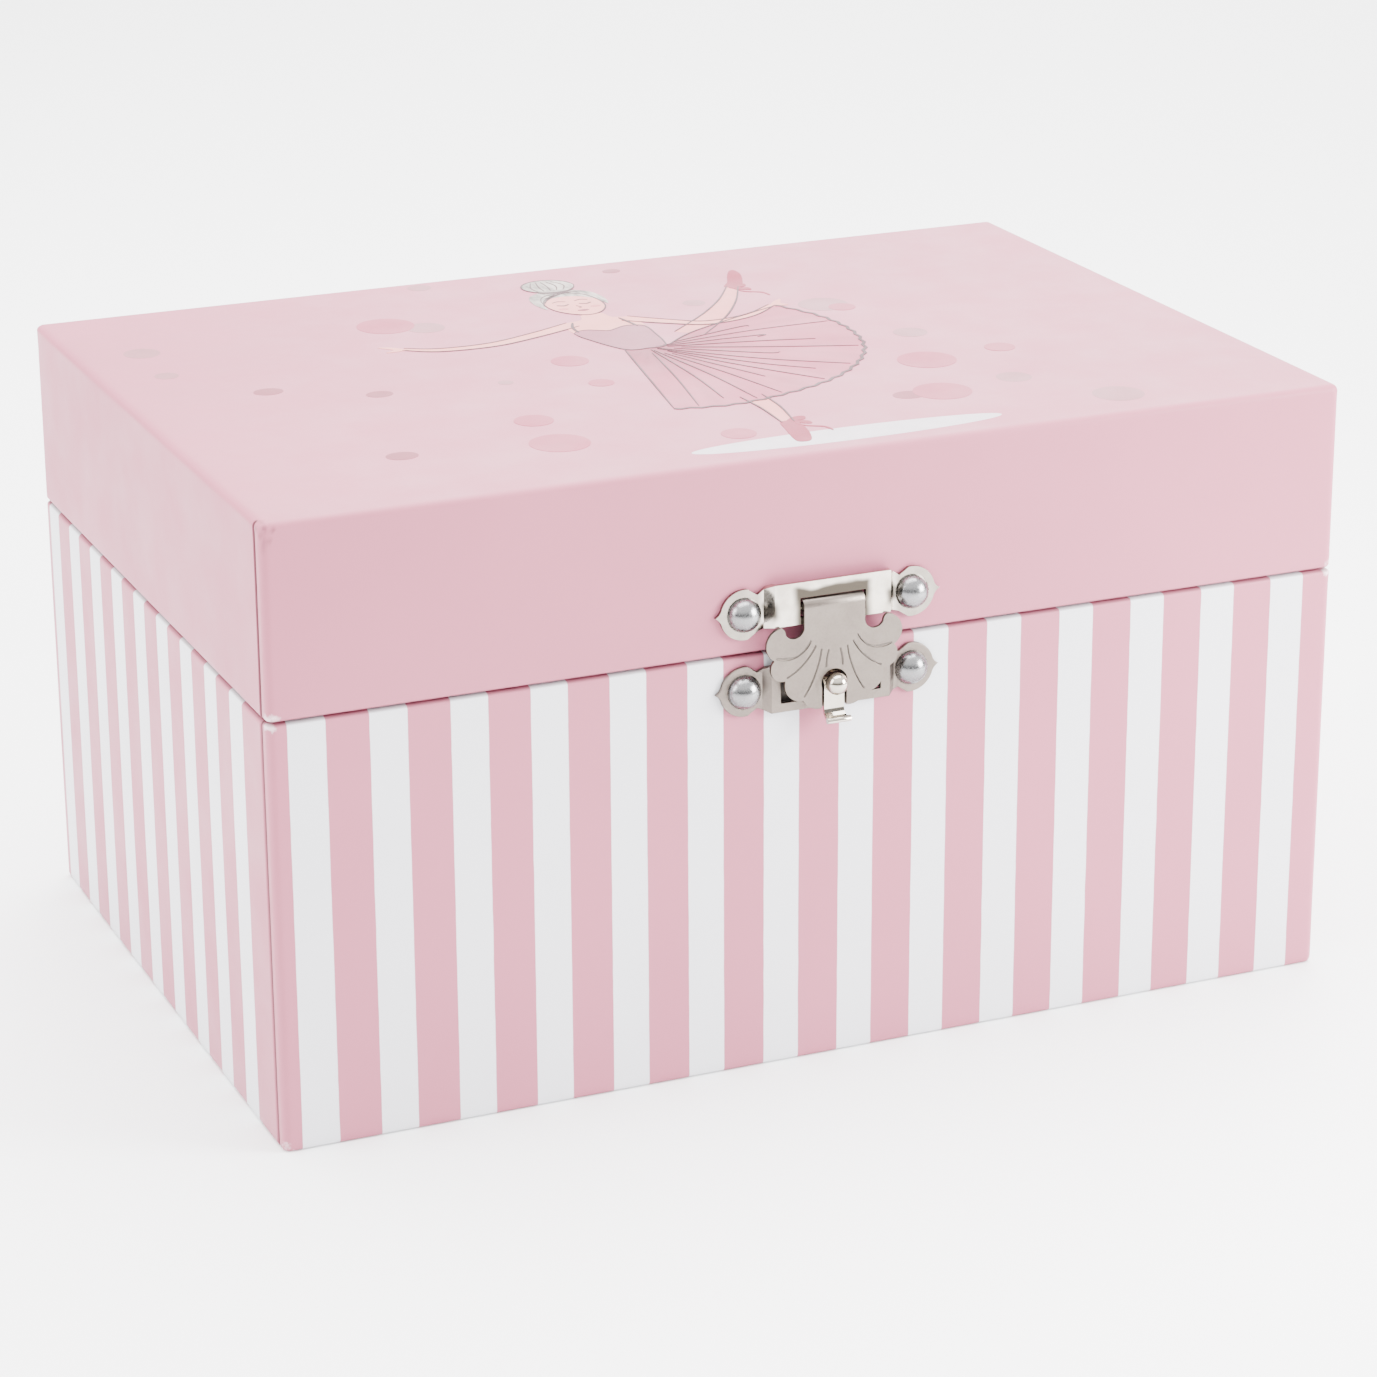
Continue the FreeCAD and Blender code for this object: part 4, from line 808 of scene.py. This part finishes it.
def print_dancer():
    """A ballerina in an arabesque, in the plain manner of a fashion sketch."""
    legs = [limb_band([(7, 9), (14, 16.4), (19.4, 23.8), (23.4, 31)], [4.6, 3.7, 2.6, 1.7]),
            limb_band([(1.6, -24.6), (1.7, -31), (0.9, -38.4)], [3.3, 2.7, 1.7])]
    arms = [limb_band([(-6.6, 20.2), (-13.2, 17.2), (-21, 14.6), (-29, 14.9), (-33.6, 17.4)],
                      [2.6, 2.3, 2.0, 1.6, 1.0]),
            limb_band([(1.6, 20.4), (6.4, 16.4), (11.6, 13.2), (18.6, 14.4), (24.2, 18.6)],
                      [2.6, 2.2, 1.9, 1.5, 1.0])]
    hands = [blob([(-33.2, 17), (-34.6, 18.9), (-36.6, 19.6), (-35, 17.6), (-36.4, 16.6), (-34, 16.6)]),
             blob([(23.8, 18.1), (25.2, 20.2), (26.8, 21.2), (25.9, 19), (26.6, 17.9), (24.7, 17.7)])]
    chest = blob([(-7.6, 20.6), (-4.6, 22), (-3.4, 24.6), (-0.4, 24.6), (0.2, 22), (2.6, 20.6),
                  (2.4, 14.6), (-2.9, 13.2), (-8, 14.6)], 8)
    face = blob([(-6.3, 32.6), (-6.1, 28.6), (-4.4, 25.6), (-2.1, 24.4), (0.2, 25.6), (1.9, 28.6),
                 (2.1, 32.6), (0.9, 36.2), (-2.1, 37.6), (-5.1, 36.2)], 8)
    bodice = blob([(-8.3, 15.4), (-5.8, 16.4), (-3.1, 14.9), (-0.2, 16.4), (2.5, 15.5), (2.4, 11),
                   (1.3, 4.3), (-1.6, 3.8), (-4.8, 4.3), (-7.3, 10.4)], 8)
    cap = blob([(-6.9, 29.4), (-7.6, 33.4), (-6.4, 37.6), (-2.1, 39.8), (2.2, 37.6), (3.4, 33.4), (2.7, 29.4),
                (1.9, 32.9), (-0.4, 35.2), (-3.6, 35.4), (-6.1, 32.9)], 8)
    shoes = [blob([(22.2, 31.2), (23.6, 33.4), (24.9, 36.4), (26.4, 39.3), (27.5, 39.9), (27.5, 37.4),
                   (26.2, 33.6), (24.5, 30.4)], 8),
             blob([(-0.1, -38), (-0.9, -41.6), (-1.6, -45), (-1.6, -47.2), (0.1, -47.3), (1.3, -44.6),
                   (2.0, -41.2), (1.9, -38.2)], 8)]
    bun, hem = ring_points(-1.9, 42.1, 4.0, 3.7, 40), scalloped_hem()
    skirt = [(2, 4.6), (8, 9.6), (16, 13.8)] + hem + [(-7.4, -10), (-5, 4.4)]
    print_ink("print_legs", [closed(leg) for leg in legs], ink_finish("ink_leg", (0.50, 0.165, 0.165)), 1)
    print_ink("print_skirt", [skirt], skirt_ink((WAIST.x * MM, WAIST.y * MM, TOP_Z)), 2)
    skin = ink_finish("ink_skin", (0.52, 0.190, 0.175), 0.03)
    print_ink("print_skin", [chest] + [closed(arm) for arm in arms], skin, 3)
    print_ink("print_hands", hands + [face], skin, 4)
    print_ink("print_bodice", [bodice], ink_finish("ink_bodice", (0.235, 0.070, 0.104)), 5)
    print_ink("print_hair", [cap, bun], hair_ink(), 5)
    bows = shoe_bow(22.6, 30.4) + shoe_bow(1.0, -37.8)
    print_ink("print_shoes", shoes + bows, ink_finish("ink_shoe", (0.215, 0.009, 0.036)), 4)
    print_lines([edge for pair in legs + arms for edge in pair], hem, face, bodice, bun)


def print_lines(edges, hem, face, bodice, bun):
    """The pen drawing over the washes."""
    lines = [stroke(edge[::8], 0.28) for edge in edges] + [stroke(hem[::2], 0.50, 2, False)]
    lines += [stroke([(-5, 4.4), (-7.2, -8), (-10.4, -26)], 0.26),
              stroke([(2, 4.6), (8.6, 10), (24.5, 18)], 0.28)]
    fold_reaches = [0.62, 0.98, 0.55, 0.80, 0.98, 0.62, 0.98, 0.86, 0.98, 0.74, 0.98, 0.98, 0.90, 0.98]
    for k, reach in enumerate(fold_reaches):
        t = 0.10 + 0.07 * k if k < 7 else 0.16 + 0.06 * k      # along the hem, closer on the left
        end = skirt_hem(t)
        start = WAIST.lerp(end, 0.10 + 0.06 * math.sin(20 * t))
        middle = WAIST.lerp(end, 0.55) + Vector((0.5, 0.9, 0)) * math.sin(9 * t)
        lines.append(stroke([start, middle, WAIST.lerp(end, reach)], 0.24))
    lines += [stroke(face[4::3] + [face[4]], 0.22, 2), stroke(bodice[::4] + [bodice[0]], 0.24, 3)]
    lines += [stroke(bun[::3] + [bun[0]], 0.22, 3), stroke([(-4.7, 38.9), (-1.9, 38.1), (0.9, 38.9)], 0.7)]
    for k in range(5):
        parting = [(-6.6 + 0.4 * k, 31.4 + k), (-5.4 + k, 34.4 + 0.8 * k), (0.9 * k - 2.2, 37.8)]
        lines += [stroke([(-4.4 + k, 39.6), (-4.6 + 1.3 * k, 42), (-3.6 + 0.8 * k, 44.8)], 0.2),
                  stroke(parting, 0.2)]
    for side in (-1, 1):
        x = -2.1 + side * 1.75
        strap = [(-2.9 + side * 4.6, 15.6), (-3.0 + side * 4.3, 18.4), (-2.7 + side * 3.6, 21)]
        lines += [stroke([(x - 0.95, 31), (x, 30.5), (x + 0.95, 31)], 0.34),
                  stroke([(x - 1.05, 32.6), (x, 33.1), (x + 1.05, 32.6)], 0.2), stroke(strap, 0.45)]
    lines.append(stroke([(-2.2, 29.9), (-1.75, 28.9), (-2.2, 28.7)], 0.2))
    lips = [blob([(-3, 27.2), (-2.1, 27.55), (-1.2, 27.2), (-2.1, 26.7)])]
    cheeks = [ring_points(x, 28.7, 0.8, 0.55, 20) for x in (-4.6, 0.4)]
    print_ink("print_lines", lines, ink_finish("ink_line", (0.062, 0.024, 0.030)), 7)
    print_ink("print_lips", lips, ink_finish("ink_lips", (0.16, 0.028, 0.05)), 7)
    print_ink("print_cheeks", cheeks, ink_finish("ink_cheek", (0.42, 0.115, 0.125)), 5)


# ---- soft things inside ----
def cushion(low, high, around, corner, sag, seed, round_top=False):
    """A crowned closed pad: its foot draws in, and its top rolls over in a corner's width and sags."""
    middle, half, tall = (low + high) / 2, (high - low) / 2, high.z - low.z
    rng = random.Random(seed)
    shift = Vector((rng.uniform(0, 50), rng.uniform(0, 50), 0))
    base, power, rings = 0.55 if round_top else 0.78, 14, 10
    edge = []
    for t in (4 * i / around for i in range(around)):
        along = (t % 1) * 2 - 1
        x, y = ((along, -1), (1, along), (-along, 1), (-1, -along))[int(t)]
        length = (abs(x) ** power + abs(y) ** power) ** (1 / power)
        edge.append((x / length, y / length))
    points = []
    for level, share in ((0, 0.90), (0.04, 1), (0.5, 1), (0.78, 1)):
        drawn = (1 - share) * corner
        reach_x, reach_y, z = half.x - drawn, half.y - drawn, low.z + tall * level
        points += [Vector((middle.x + x * reach_x, middle.y + y * reach_y, z)) for x, y in edge]
    for inner in (1 - ring / rings for ring in range(1, rings + 1)):
        for u, v in ((x * inner, y * inner) for x, y in edge):
            from_side, from_end = half.y * (1 - abs(v)), half.x * (1 - abs(u))
            roll = 1 - max(0.0, 1 - min(from_side, from_end) / corner) ** 2
            if round_top:
                roll = math.sqrt(max(0.0, 1 - abs(v) ** 2)) * (1 - max(0.0, 1 - from_end / corner) ** 2)
            place = Vector((middle.x + u * half.x, middle.y + v * half.y, 0))
            bumps = noise.noise(place * 0.09 / MM + shift) * sag
            z = low.z + tall * (base + (1 - base) * roll) + bumps * roll
            points.append(Vector((place.x, place.y, min(z, high.z))))
    return points, ring_faces(4 + rings, around) + [tuple(reversed(range(around)))]


def inside_cushions(velvet):
    for i, (low, high) in enumerate(islands("ring_rolls"), 1):
        shape = cushion(low, high, 100, 2.6 * MM, 0.35 * MM, 10 + i, True)
        roll = new_piece("ring_roll_%d" % i, shape, velvet, "base", ["ring_rolls"])
        edit_mesh(roll, weld)
    for i, (low, high) in enumerate(islands("tray_pads"), 1):
        shape = cushion(low, high, 108, 1.8 * MM, 0.25 * MM, 30 + i)
        pad = new_piece("tray_pad_%d" % i, shape, velvet, "base", ["tray_pads"])
        edit_mesh(pad, weld)
    shape = cushion(*extent("lid_press_pad"), 36, 0.6 * MM, 0.08 * MM, 51)
    felt = felt_finish("felt_rose", (0.42, 0.16, 0.21))
    pad = new_piece("press_pad_felt", shape, felt, "lid", ["lid_press_pad"])
    edit_mesh(pad, weld)


# ---- springs ----
RISE = next(joint for joint in frame["joints"] if joint["name"] == "dancer_rise")
PIVOT, TILT = Vector(RISE["pos_m"]), math.radians(RISE["range_deg"][1])
TURNTABLE_TOP = extent("turntable")[1].z
SPRING_HALF = PIVOT.z - TURNTABLE_TOP


def coil(centre, radius, wire, turns, sides, steps=18):
    """A coil of wire round a centre line. centre turns a share of it into a point and two directions."""
    line = []
    for i in range(int(turns * steps) + 1):
        point, side, other = centre(i / (turns * steps))
        angle = 2 * math.pi * i / steps
        line.append(point + side * math.cos(angle) * radius + other * math.sin(angle) * radius)
    return tube(line, [wire] * len(line), sides)


def dancer_spring(finish):
    bend = SPRING_HALF / math.tan(TILT / 2)

    def centre(t):
        angle = TILT * (0.04 + 0.92 * t)
        along, out = math.cos(angle), math.sin(angle)
        point = Vector((0, PIVOT.y - bend + bend * along, TURNTABLE_TOP + bend * out))
        return point, Vector((1, 0, 0)), Vector((0, along, out))

    shape = coil(centre, 1.8 * MM, 0.2295 * MM, 9.5, 8)
    spring = new_piece("dancer_coil", shape, finish, None, ["dancer_spring"])
    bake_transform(spring)


def stop_spring(finish):
    low, high = extent("stop_spring")
    x, y, _ = (low + high) / 2
    end = 0.15 * MM

    def centre(t):
        z = low.z + end + t * (high.z - low.z - 2 * end)
        return Vector((x, y, z)), Vector((1, 0, 0)), Vector((0, 1, 0))

    shape = coil(centre, (high.x - low.x) / 2 - end, 0.13 * MM, 7, 6)
    spring = new_piece("stop_coil", shape, finish, None, ["stop_spring"])
    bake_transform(spring)


# ---- the dancer, in millimetres about her foot, upright ----
WAIST_R = 2.65


def lean(points):
    """From upright to where she lies at rest."""
    turn, foot = Matrix.Rotation(TILT, 3, "X"), Vector((0, 0, SPRING_HALF))
    return [PIVOT + turn @ (Vector(p) * MM + foot) for p in points]


def lean_mesh(mesh):
    for vertex, place in zip(mesh.vertices, lean([v.co for v in mesh.vertices])):
        vertex.co = place


def figure_piece(name, shape, finish):
    points, faces = shape
    return new_piece(name, (lean(points), faces), finish, "dancer")


def limb(points, radii, steps=5, sides=14):
    return tube(smooth_line(points, steps), smooth_values(radii, steps), sides)


def upright(heights, radii):
    return limb([(0, 0, z) for z in heights], radii)


def fused(name, shapes, voxel, smooth_rounds):
    """One clean surface over closed shapes that overlap."""
    rough = in_scene(name + "_rough", new_mesh(name, gather(shapes)))
    remesh = rough.modifiers.new("remesh", "REMESH")
    remesh.mode, remesh.voxel_size = "VOXEL", voxel
    soften = rough.modifiers.new("soften", "SMOOTH")
    soften.factor, soften.iterations = 0.5, smooth_rounds
    done = bpy.data.meshes.new_from_object(rough.evaluated_get(bpy.context.evaluated_depsgraph_get()))
    bpy.data.objects.remove(rough)
    return done


def dancer_figure():
    """She stands on one toe with the other knee lifted and her arms rounded."""
    parts = [upright([0.2, 1.4, 3.0], [1.4, 1.2, 0.8]),
             limb([(0, 0, 1.6), (0, 0, 3.4), (0, 0.25, 6.4), (0, 0, 10.4), (0, 0, 14.6), (0, 0, 18.6)],
                  [0.62, 0.72, 1.15, 0.98, 1.55, 1.95]),
             limb([(0.9, 0, 18.6), (3.6, -0.9, 16.2), (5.7, -1.6, 13.8)], [1.9, 1.6, 1.2]),
             limb([(5.7, -1.6, 13.8), (3.7, -1.2, 12), (1.3, -0.7, 10.5), (0.5, -0.8, 9.6)],
                  [1.2, 1.15, 0.72, 0.4]),
             upright([17.8, 19.6, 23.2, 26.4, 28.9, 29.8], [2.4, WAIST_R, 1.75, 2.3, 2.35, 1.5]),
             upright([29.2, 31.0, 32.6], [1.2, 0.85, 0.85]),
             limb([(0, -0.1, 32.4), (0, -0.2, 33.6), (0, 0, 35.2), (0, 0.1, 36.6), (0, 0.1, 37.3)],
                  [1.1, 2.0, 2.55, 2.2, 1.2]),
             limb([(0, -2.35, 34.5), (0, -2.62, 34.1)], [0.34, 0.30])]
    for side in (-1, 1):
        parts.append(limb([(side * 1.7, 0, 28.9), (side * 2.9, 0, 28.8), (side * 4.8, -0.7, 28),
                           (side * 6.3, -1.2, 27.7), (side * 8.4, -2.2, 28.4), (side * 9.7, -2.9, 29)],
                          [0.95, 1.0, 0.78, 0.70, 0.58, 0.40]))
        parts.append(limb([(side * 9.6, -2.8, 28.9), (side * 10.1, -3, 29.4), (side * 10.4, -3.1, 29.9)],
                          [0.42, 0.44, 0.22]))
    mesh = fused("dancer_figure", parts, 0.17, 6)
    colors = [plastic_finish("figure_skin", (0.62, 0.33, 0.24), 0.42),
              plastic_finish("figure_bodice", (0.48, 0.15, 0.22), 0.35),
              plastic_finish("figure_tights", (0.62, 0.46, 0.46), 0.45),
              plastic_finish("figure_shoes", (0.42, 0.10, 0.17), 0.30)]
    piece = add_piece("dancer_figure", mesh, colors, "dancer", ["dancer_body"])
    _, bodice, tights, shoes = range(4)
    for face in mesh.polygons:
        x, y, z = face.center
        on_arm = abs(x) > 2.55 and z > 25.5
        if z < 4.2 or (8.2 < z < 11.0 and x > 0.1 and y < -0.35):
            face.material_index = shoes
        elif z < 19.0:
            face.material_index = tights
        elif z < 27.6 + 0.5 * math.cos(x * 1.4) and not on_arm:
            face.material_index = bodice
    lean_mesh(mesh)
    return piece


def dancer_hair():
    """Smooth painted hair combed back into a bun, with a ribbon round it."""
    locks = []
    for k in range(9):
        angle, line = math.radians(-72 + 18 * k), []
        for t in (i / 6 for i in range(7)):
            up = math.radians(8 + 74 * t)
            x = math.sin(angle) * (2.62 - 0.12 * t) * math.cos(up * 0.82)
            line.append((x, 0.65 + 0.9 * t - math.cos(angle) * (1 - t) * 1.3, 35.2 + 2.55 * math.sin(up)))
        locks.append(limb(line, [0.42, 0.55, 0.62, 0.66, 0.62, 0.55, 0.4], 3, 8))
    for side in (-1 + k / 3 for k in range(7)):
        locks.append(limb([(side * 2.35, 0.2 + 0.4 * (1 - abs(side)), 35.4), (side * 2.2, 1.5, 34.4),
                           (side * 1.2, 2.3, 34.6), (side * 0.6, 1.7, 36.8)], [0.5, 0.6, 0.6, 0.5], 3, 8))
    locks.append(limb([(0, 0.6, 34.4), (0, 0.7, 35.6), (0, 0.6, 37.2)], [2.2, 2.55, 1.9]))
    cap = fused("dancer_hair", locks, 0.16, 2)
    hair = plastic_finish("figure_hair", (0.11, 0.055, 0.030), 0.38, 1.0)
    add_piece("dancer_hair", cap, hair, "dancer")
    lean_mesh(cap)
    shares, twist = [i / 48 for i in range(49)], []
    for t in shares:
        angle, radius = 2 * math.pi * 2.5 * t, 1.15 * (1 - 0.75 * t)
        twist.append(Vector((radius * math.cos(angle), 0.6 + radius * math.sin(angle), 38.0 + 1.15 * t)))
    figure_piece("dancer_bun", tube(twist, [0.55 - 0.15 * t for t in shares], 10), hair)
    band_line = [Vector((x, y, 37.75)) for x, y in ring_points(0, 0.6, 1.45, 1.45, 28)]
    ribbon = plastic_finish("figure_ribbon", (0.45, 0.10, 0.18), 0.35)
    figure_piece("dancer_bun_band", tube(band_line, [0.24] * 28, 8, True), ribbon)


def dancer_face():
    """Small painted eyes, brows and lips, calm and plain."""
    def painted(x, half, depths, heights, radii):
        """A short curved stroke of paint through its left end, middle and right end."""
        return limb(list(zip((x - half, x, x + half), depths, heights)), radii, 3, 6)

    dark = []
    for x in (-0.95, 0.95):
        dark.append(painted(x, 0.38, (-2.22, -2.40, -2.22), (34.95, 34.86, 34.95), [0.06, 0.10, 0.06]))
        dark.append(painted(x, 0.42, (-2.13, -2.26, -2.10), (35.55, 35.68, 35.55), [0.04, 0.06, 0.04]))
    lips = painted(0, 0.42, (-2.12, -2.28, -2.12), (33.42, 33.38, 33.42), [0.06, 0.13, 0.06])
    figure_piece("dancer_eyes", gather(dark), plastic_finish("dancer_eyes_paint", (0.06, 0.04, 0.035), 0.35))
    figure_piece("dancer_lips", lips, plastic_finish("dancer_lips_paint", (0.45, 0.08, 0.10), 0.35))


def tutu(finish):
    """Three gathered rings of net, each a thin sheet with deep ruffles that grow towards its edge. A layer is
    (waist height, edge height, edge radius, waves, depth, phase)."""
    layers = [(21.6, 18.9, 12.75, 26, 0.42, 0.0), (21.1, 18.5, 12.1, 23, 0.40, 1.1),
              (20.7, 18.35, 11.2, 20, 0.34, 2.3)]
    across = 12
    for index, (waist_z, edge_z, edge_r, waves, depth, phase) in enumerate(layers):
        around = waves * 10
        points = []
        for t in (row / across for row in range(across + 1)):
            radius = WAIST_R + (edge_r - WAIST_R) * t
            z = waist_z + (edge_z - waist_z) * t ** 0.8
            for angle in (2 * math.pi * i / around for i in range(around)):
                x, y = math.cos(angle), math.sin(angle)
                uneven = 0.75 + 0.5 * noise.noise(Vector((3 * x, 3 * y, index * 5)))
                wave = math.sin(waves * angle + phase + 0.6 * math.sin(5 * angle))
                points.append(Vector((radius * x, radius * y, z + depth * uneven * wave * (0.25 + 0.75 * t))))
        shape = lean(points), ring_faces(across + 1, around)
        piece = new_piece("tutu_layer_%d" % (index + 1), shape, finish, "dancer", ["dancer_tutu"])
        thicken = piece.modifiers.new("net_thickness", "SOLIDIFY")
        thicken.thickness, thicken.offset = 0.03 * MM, 0.0


# ---- clasp detail ----
def hasp_ribs():
    """Dark lines of tarnish and painted shade in the engraved ribs that fan over the hasp, as (x, z) in
    millimetres.
    """
    ribs = [((3.4, 61.2), (5.2, 59.3), (8.4, 59.3)), ((2.7, 60.4), (4.5, 58), (6.9, 56.4)),
            ((1.9, 59.8), (2.7, 56.6), (4.4, 53.4)), ((0.8, 59.6), (1.1, 58.4), (1.2, 57.2))]
    face_y = min(v.co.y for v in frame["nodes"]["clasp_hasp"].data.vertices if v.co.z < 62 * MM)
    parts = []
    for rib in ribs:
        for side in (-1, 1):
            line = smooth_line([(side * x * MM, face_y + 0.02 * MM, z * MM) for x, z in rib], 10)
            parts.append(tube(line, [0.085 * MM] * len(line), 8))
    # Tarnish and painted shade: dark tubes laid along the engraved grooves.
    tarnish = metal_finish("rib_shade_and_tarnish", (0.125, 0.106, 0.094), 0.5)
    new_piece("hasp_rib_lines", gather(parts), tarnish, "hasp")


def window_shade_sheet():
    """A near-black plate behind the window of the clasp's base plate, as painted shade in the window."""
    half, low, high, bow = 7.6 * MM, 52.4 * MM, 56.9 * MM, 0.1 * MM
    corners = [(-half, low), (0, low - bow), (half, low), (half, high), (0, high + bow), (-half, high)]
    points, faces = slab([p[:2] for p in smooth_line(corners, 4, True)], 0.04 * MM, 0.16 * MM)
    shape = [(x, -HALF_Y - out, z) for x, z, out in points], faces
    # Painted shade: the near-black metal stands for the shade seen through the window.
    dark = metal_finish("window_shade_metal", (0.045, 0.038, 0.034), 0.45)
    plate = new_piece("window_shade_plate", shape, dark, "base", smooth=False)
    edit_mesh(plate, weld)


# ---- finishes for the CAD parts ----
def paint(names, finish, bevel=0.0):
    """Gives CAD nodes, named in one line, a finish, and rounds their edges by a bevel in millimetres."""
    for name in names.split():
        node = frame["nodes"][name]
        node.data.materials.clear()
        node.data.materials.append(finish)
        if bevel:
            join = node.modifiers.new("join", "WELD")
            join.merge_threshold = 2e-6
            soft = node.modifiers.new("soft_edges", "BEVEL")
            soft.width, soft.segments = bevel * MM, 2
            soft.limit_method, soft.angle_limit = "ANGLE", math.radians(40)
            soft.harden_normals = True


def finish_box():
    greyboard = board_finish("greyboard", (0.36, 0.34, 0.31))
    boards = [name for name in frame["nodes"] if name.endswith("_board") and not name.startswith("deck_")]
    paint(" ".join(boards) + " ring_shelf mirror_card", greyboard)
    lining = card_paper("lining_pink", (0.62, 0.36, 0.41))
    paint("base_lining lid_lining", lining)
    paint("mirror_frame", lining, 0.25)
    paint("underside_sheet", card_paper("underside_grey", (0.55, 0.53, 0.50)))
    flock = velvet_finish("flocked_pink", (0.46, 0.15, 0.23))
    paint("deck_board", flock)
    paint("deck_front_board divider_long divider_cross", flock, 0.3)
    paint("mirror_glass", mirror_finish(), 0.3)


def finish_metal():
    satin = metal_finish("satin_nickel", (0.172, 0.144, 0.125), 0.40, grain_depth=0.35)
    paint("clasp_hasp", satin, 0.07)
    paint("clasp_base_plate", satin, 0.10)
    bright = metal_finish("bright_nickel", BRIGHT_NICKEL, 0.11, grain_depth=0.2, waves=1.6)
    paint("catch_tongue", bright, 0.10)
    paint("clasp_lid_bracket", bracket_finish(), 0.10)
    paint("winding_key", metal_finish("key_nickel", (0.34, 0.325, 0.30), 0.2), 0.2)
    nail = metal_finish("nail_nickel", (0.215, 0.215, 0.218), 0.24)
    paint("clasp_lid_nails clasp_base_nails hinge_lid_nails hinge_base_nails", nail)
    steel = metal_finish("hinge_steel", (0.22, 0.21, 0.20), 0.26, (0.2, 1, 1), 0.5)
    paint("hinge_lid_leaves hinge_base_leaves hinge_pins", steel, 0.12)
    paint("movement_bedplate", metal_finish("tumbled_zinc", (0.42, 0.42, 0.43), 0.5, grain_depth=0.8), 0.25)
    screws = metal_finish("screw_steel", (0.55, 0.55, 0.54), 0.25)
    paint("movement_screws comb_screws winding_arbor cylinder_shaft governor_worm stop_wire", screws, 0.1)
    brass = metal_finish("machined_brass", (0.62, 0.42, 0.16), 0.24, (1, 1, 0.15), 0.5)
    paint("barrel_bridge cylinder_bracket governor_bracket spring_barrel barrel_cover", brass, 0.12)
    paint("pinned_cylinder", brass)
    paint("comb", metal_finish("ground_steel", (0.46, 0.47, 0.49), 0.3, (1, 0.1, 1), 0.6), 0.08)
    blued = metal_finish("blued_steel", (0.16, 0.17, 0.21), 0.3)
    paint("mainspring stop_spring", blued)
    return blued


def finish_plastic():
    paint("second_wheel", plastic_finish("gear_nylon", (0.66, 0.62, 0.52), 0.5))
    paint("governor_fan", plastic_finish("fan_black", (0.03, 0.03, 0.033), 0.45))
    paint("turntable", plastic_finish("turntable_white", (0.66, 0.60, 0.60), 0.28), 0.2)


build_stage()
base_wrap(wrap_paper("striped_paper", pink_and_white))
lid_wrap(wrap_paper("lid_paper", plain_pink))
finish_box()
blued_steel = finish_metal()
finish_plastic()
print_dots()
print_dancer()
inside_cushions(velvet_finish("velvet_rose", (0.50, 0.17, 0.25)))
dancer_spring(metal_finish("spring_steel", (0.50, 0.50, 0.50), 0.25))
stop_spring(blued_steel)
figure = dancer_figure()
dancer_hair()
dancer_face()
tutu(tulle_finish())
hasp_ribs()
window_shade_sheet()
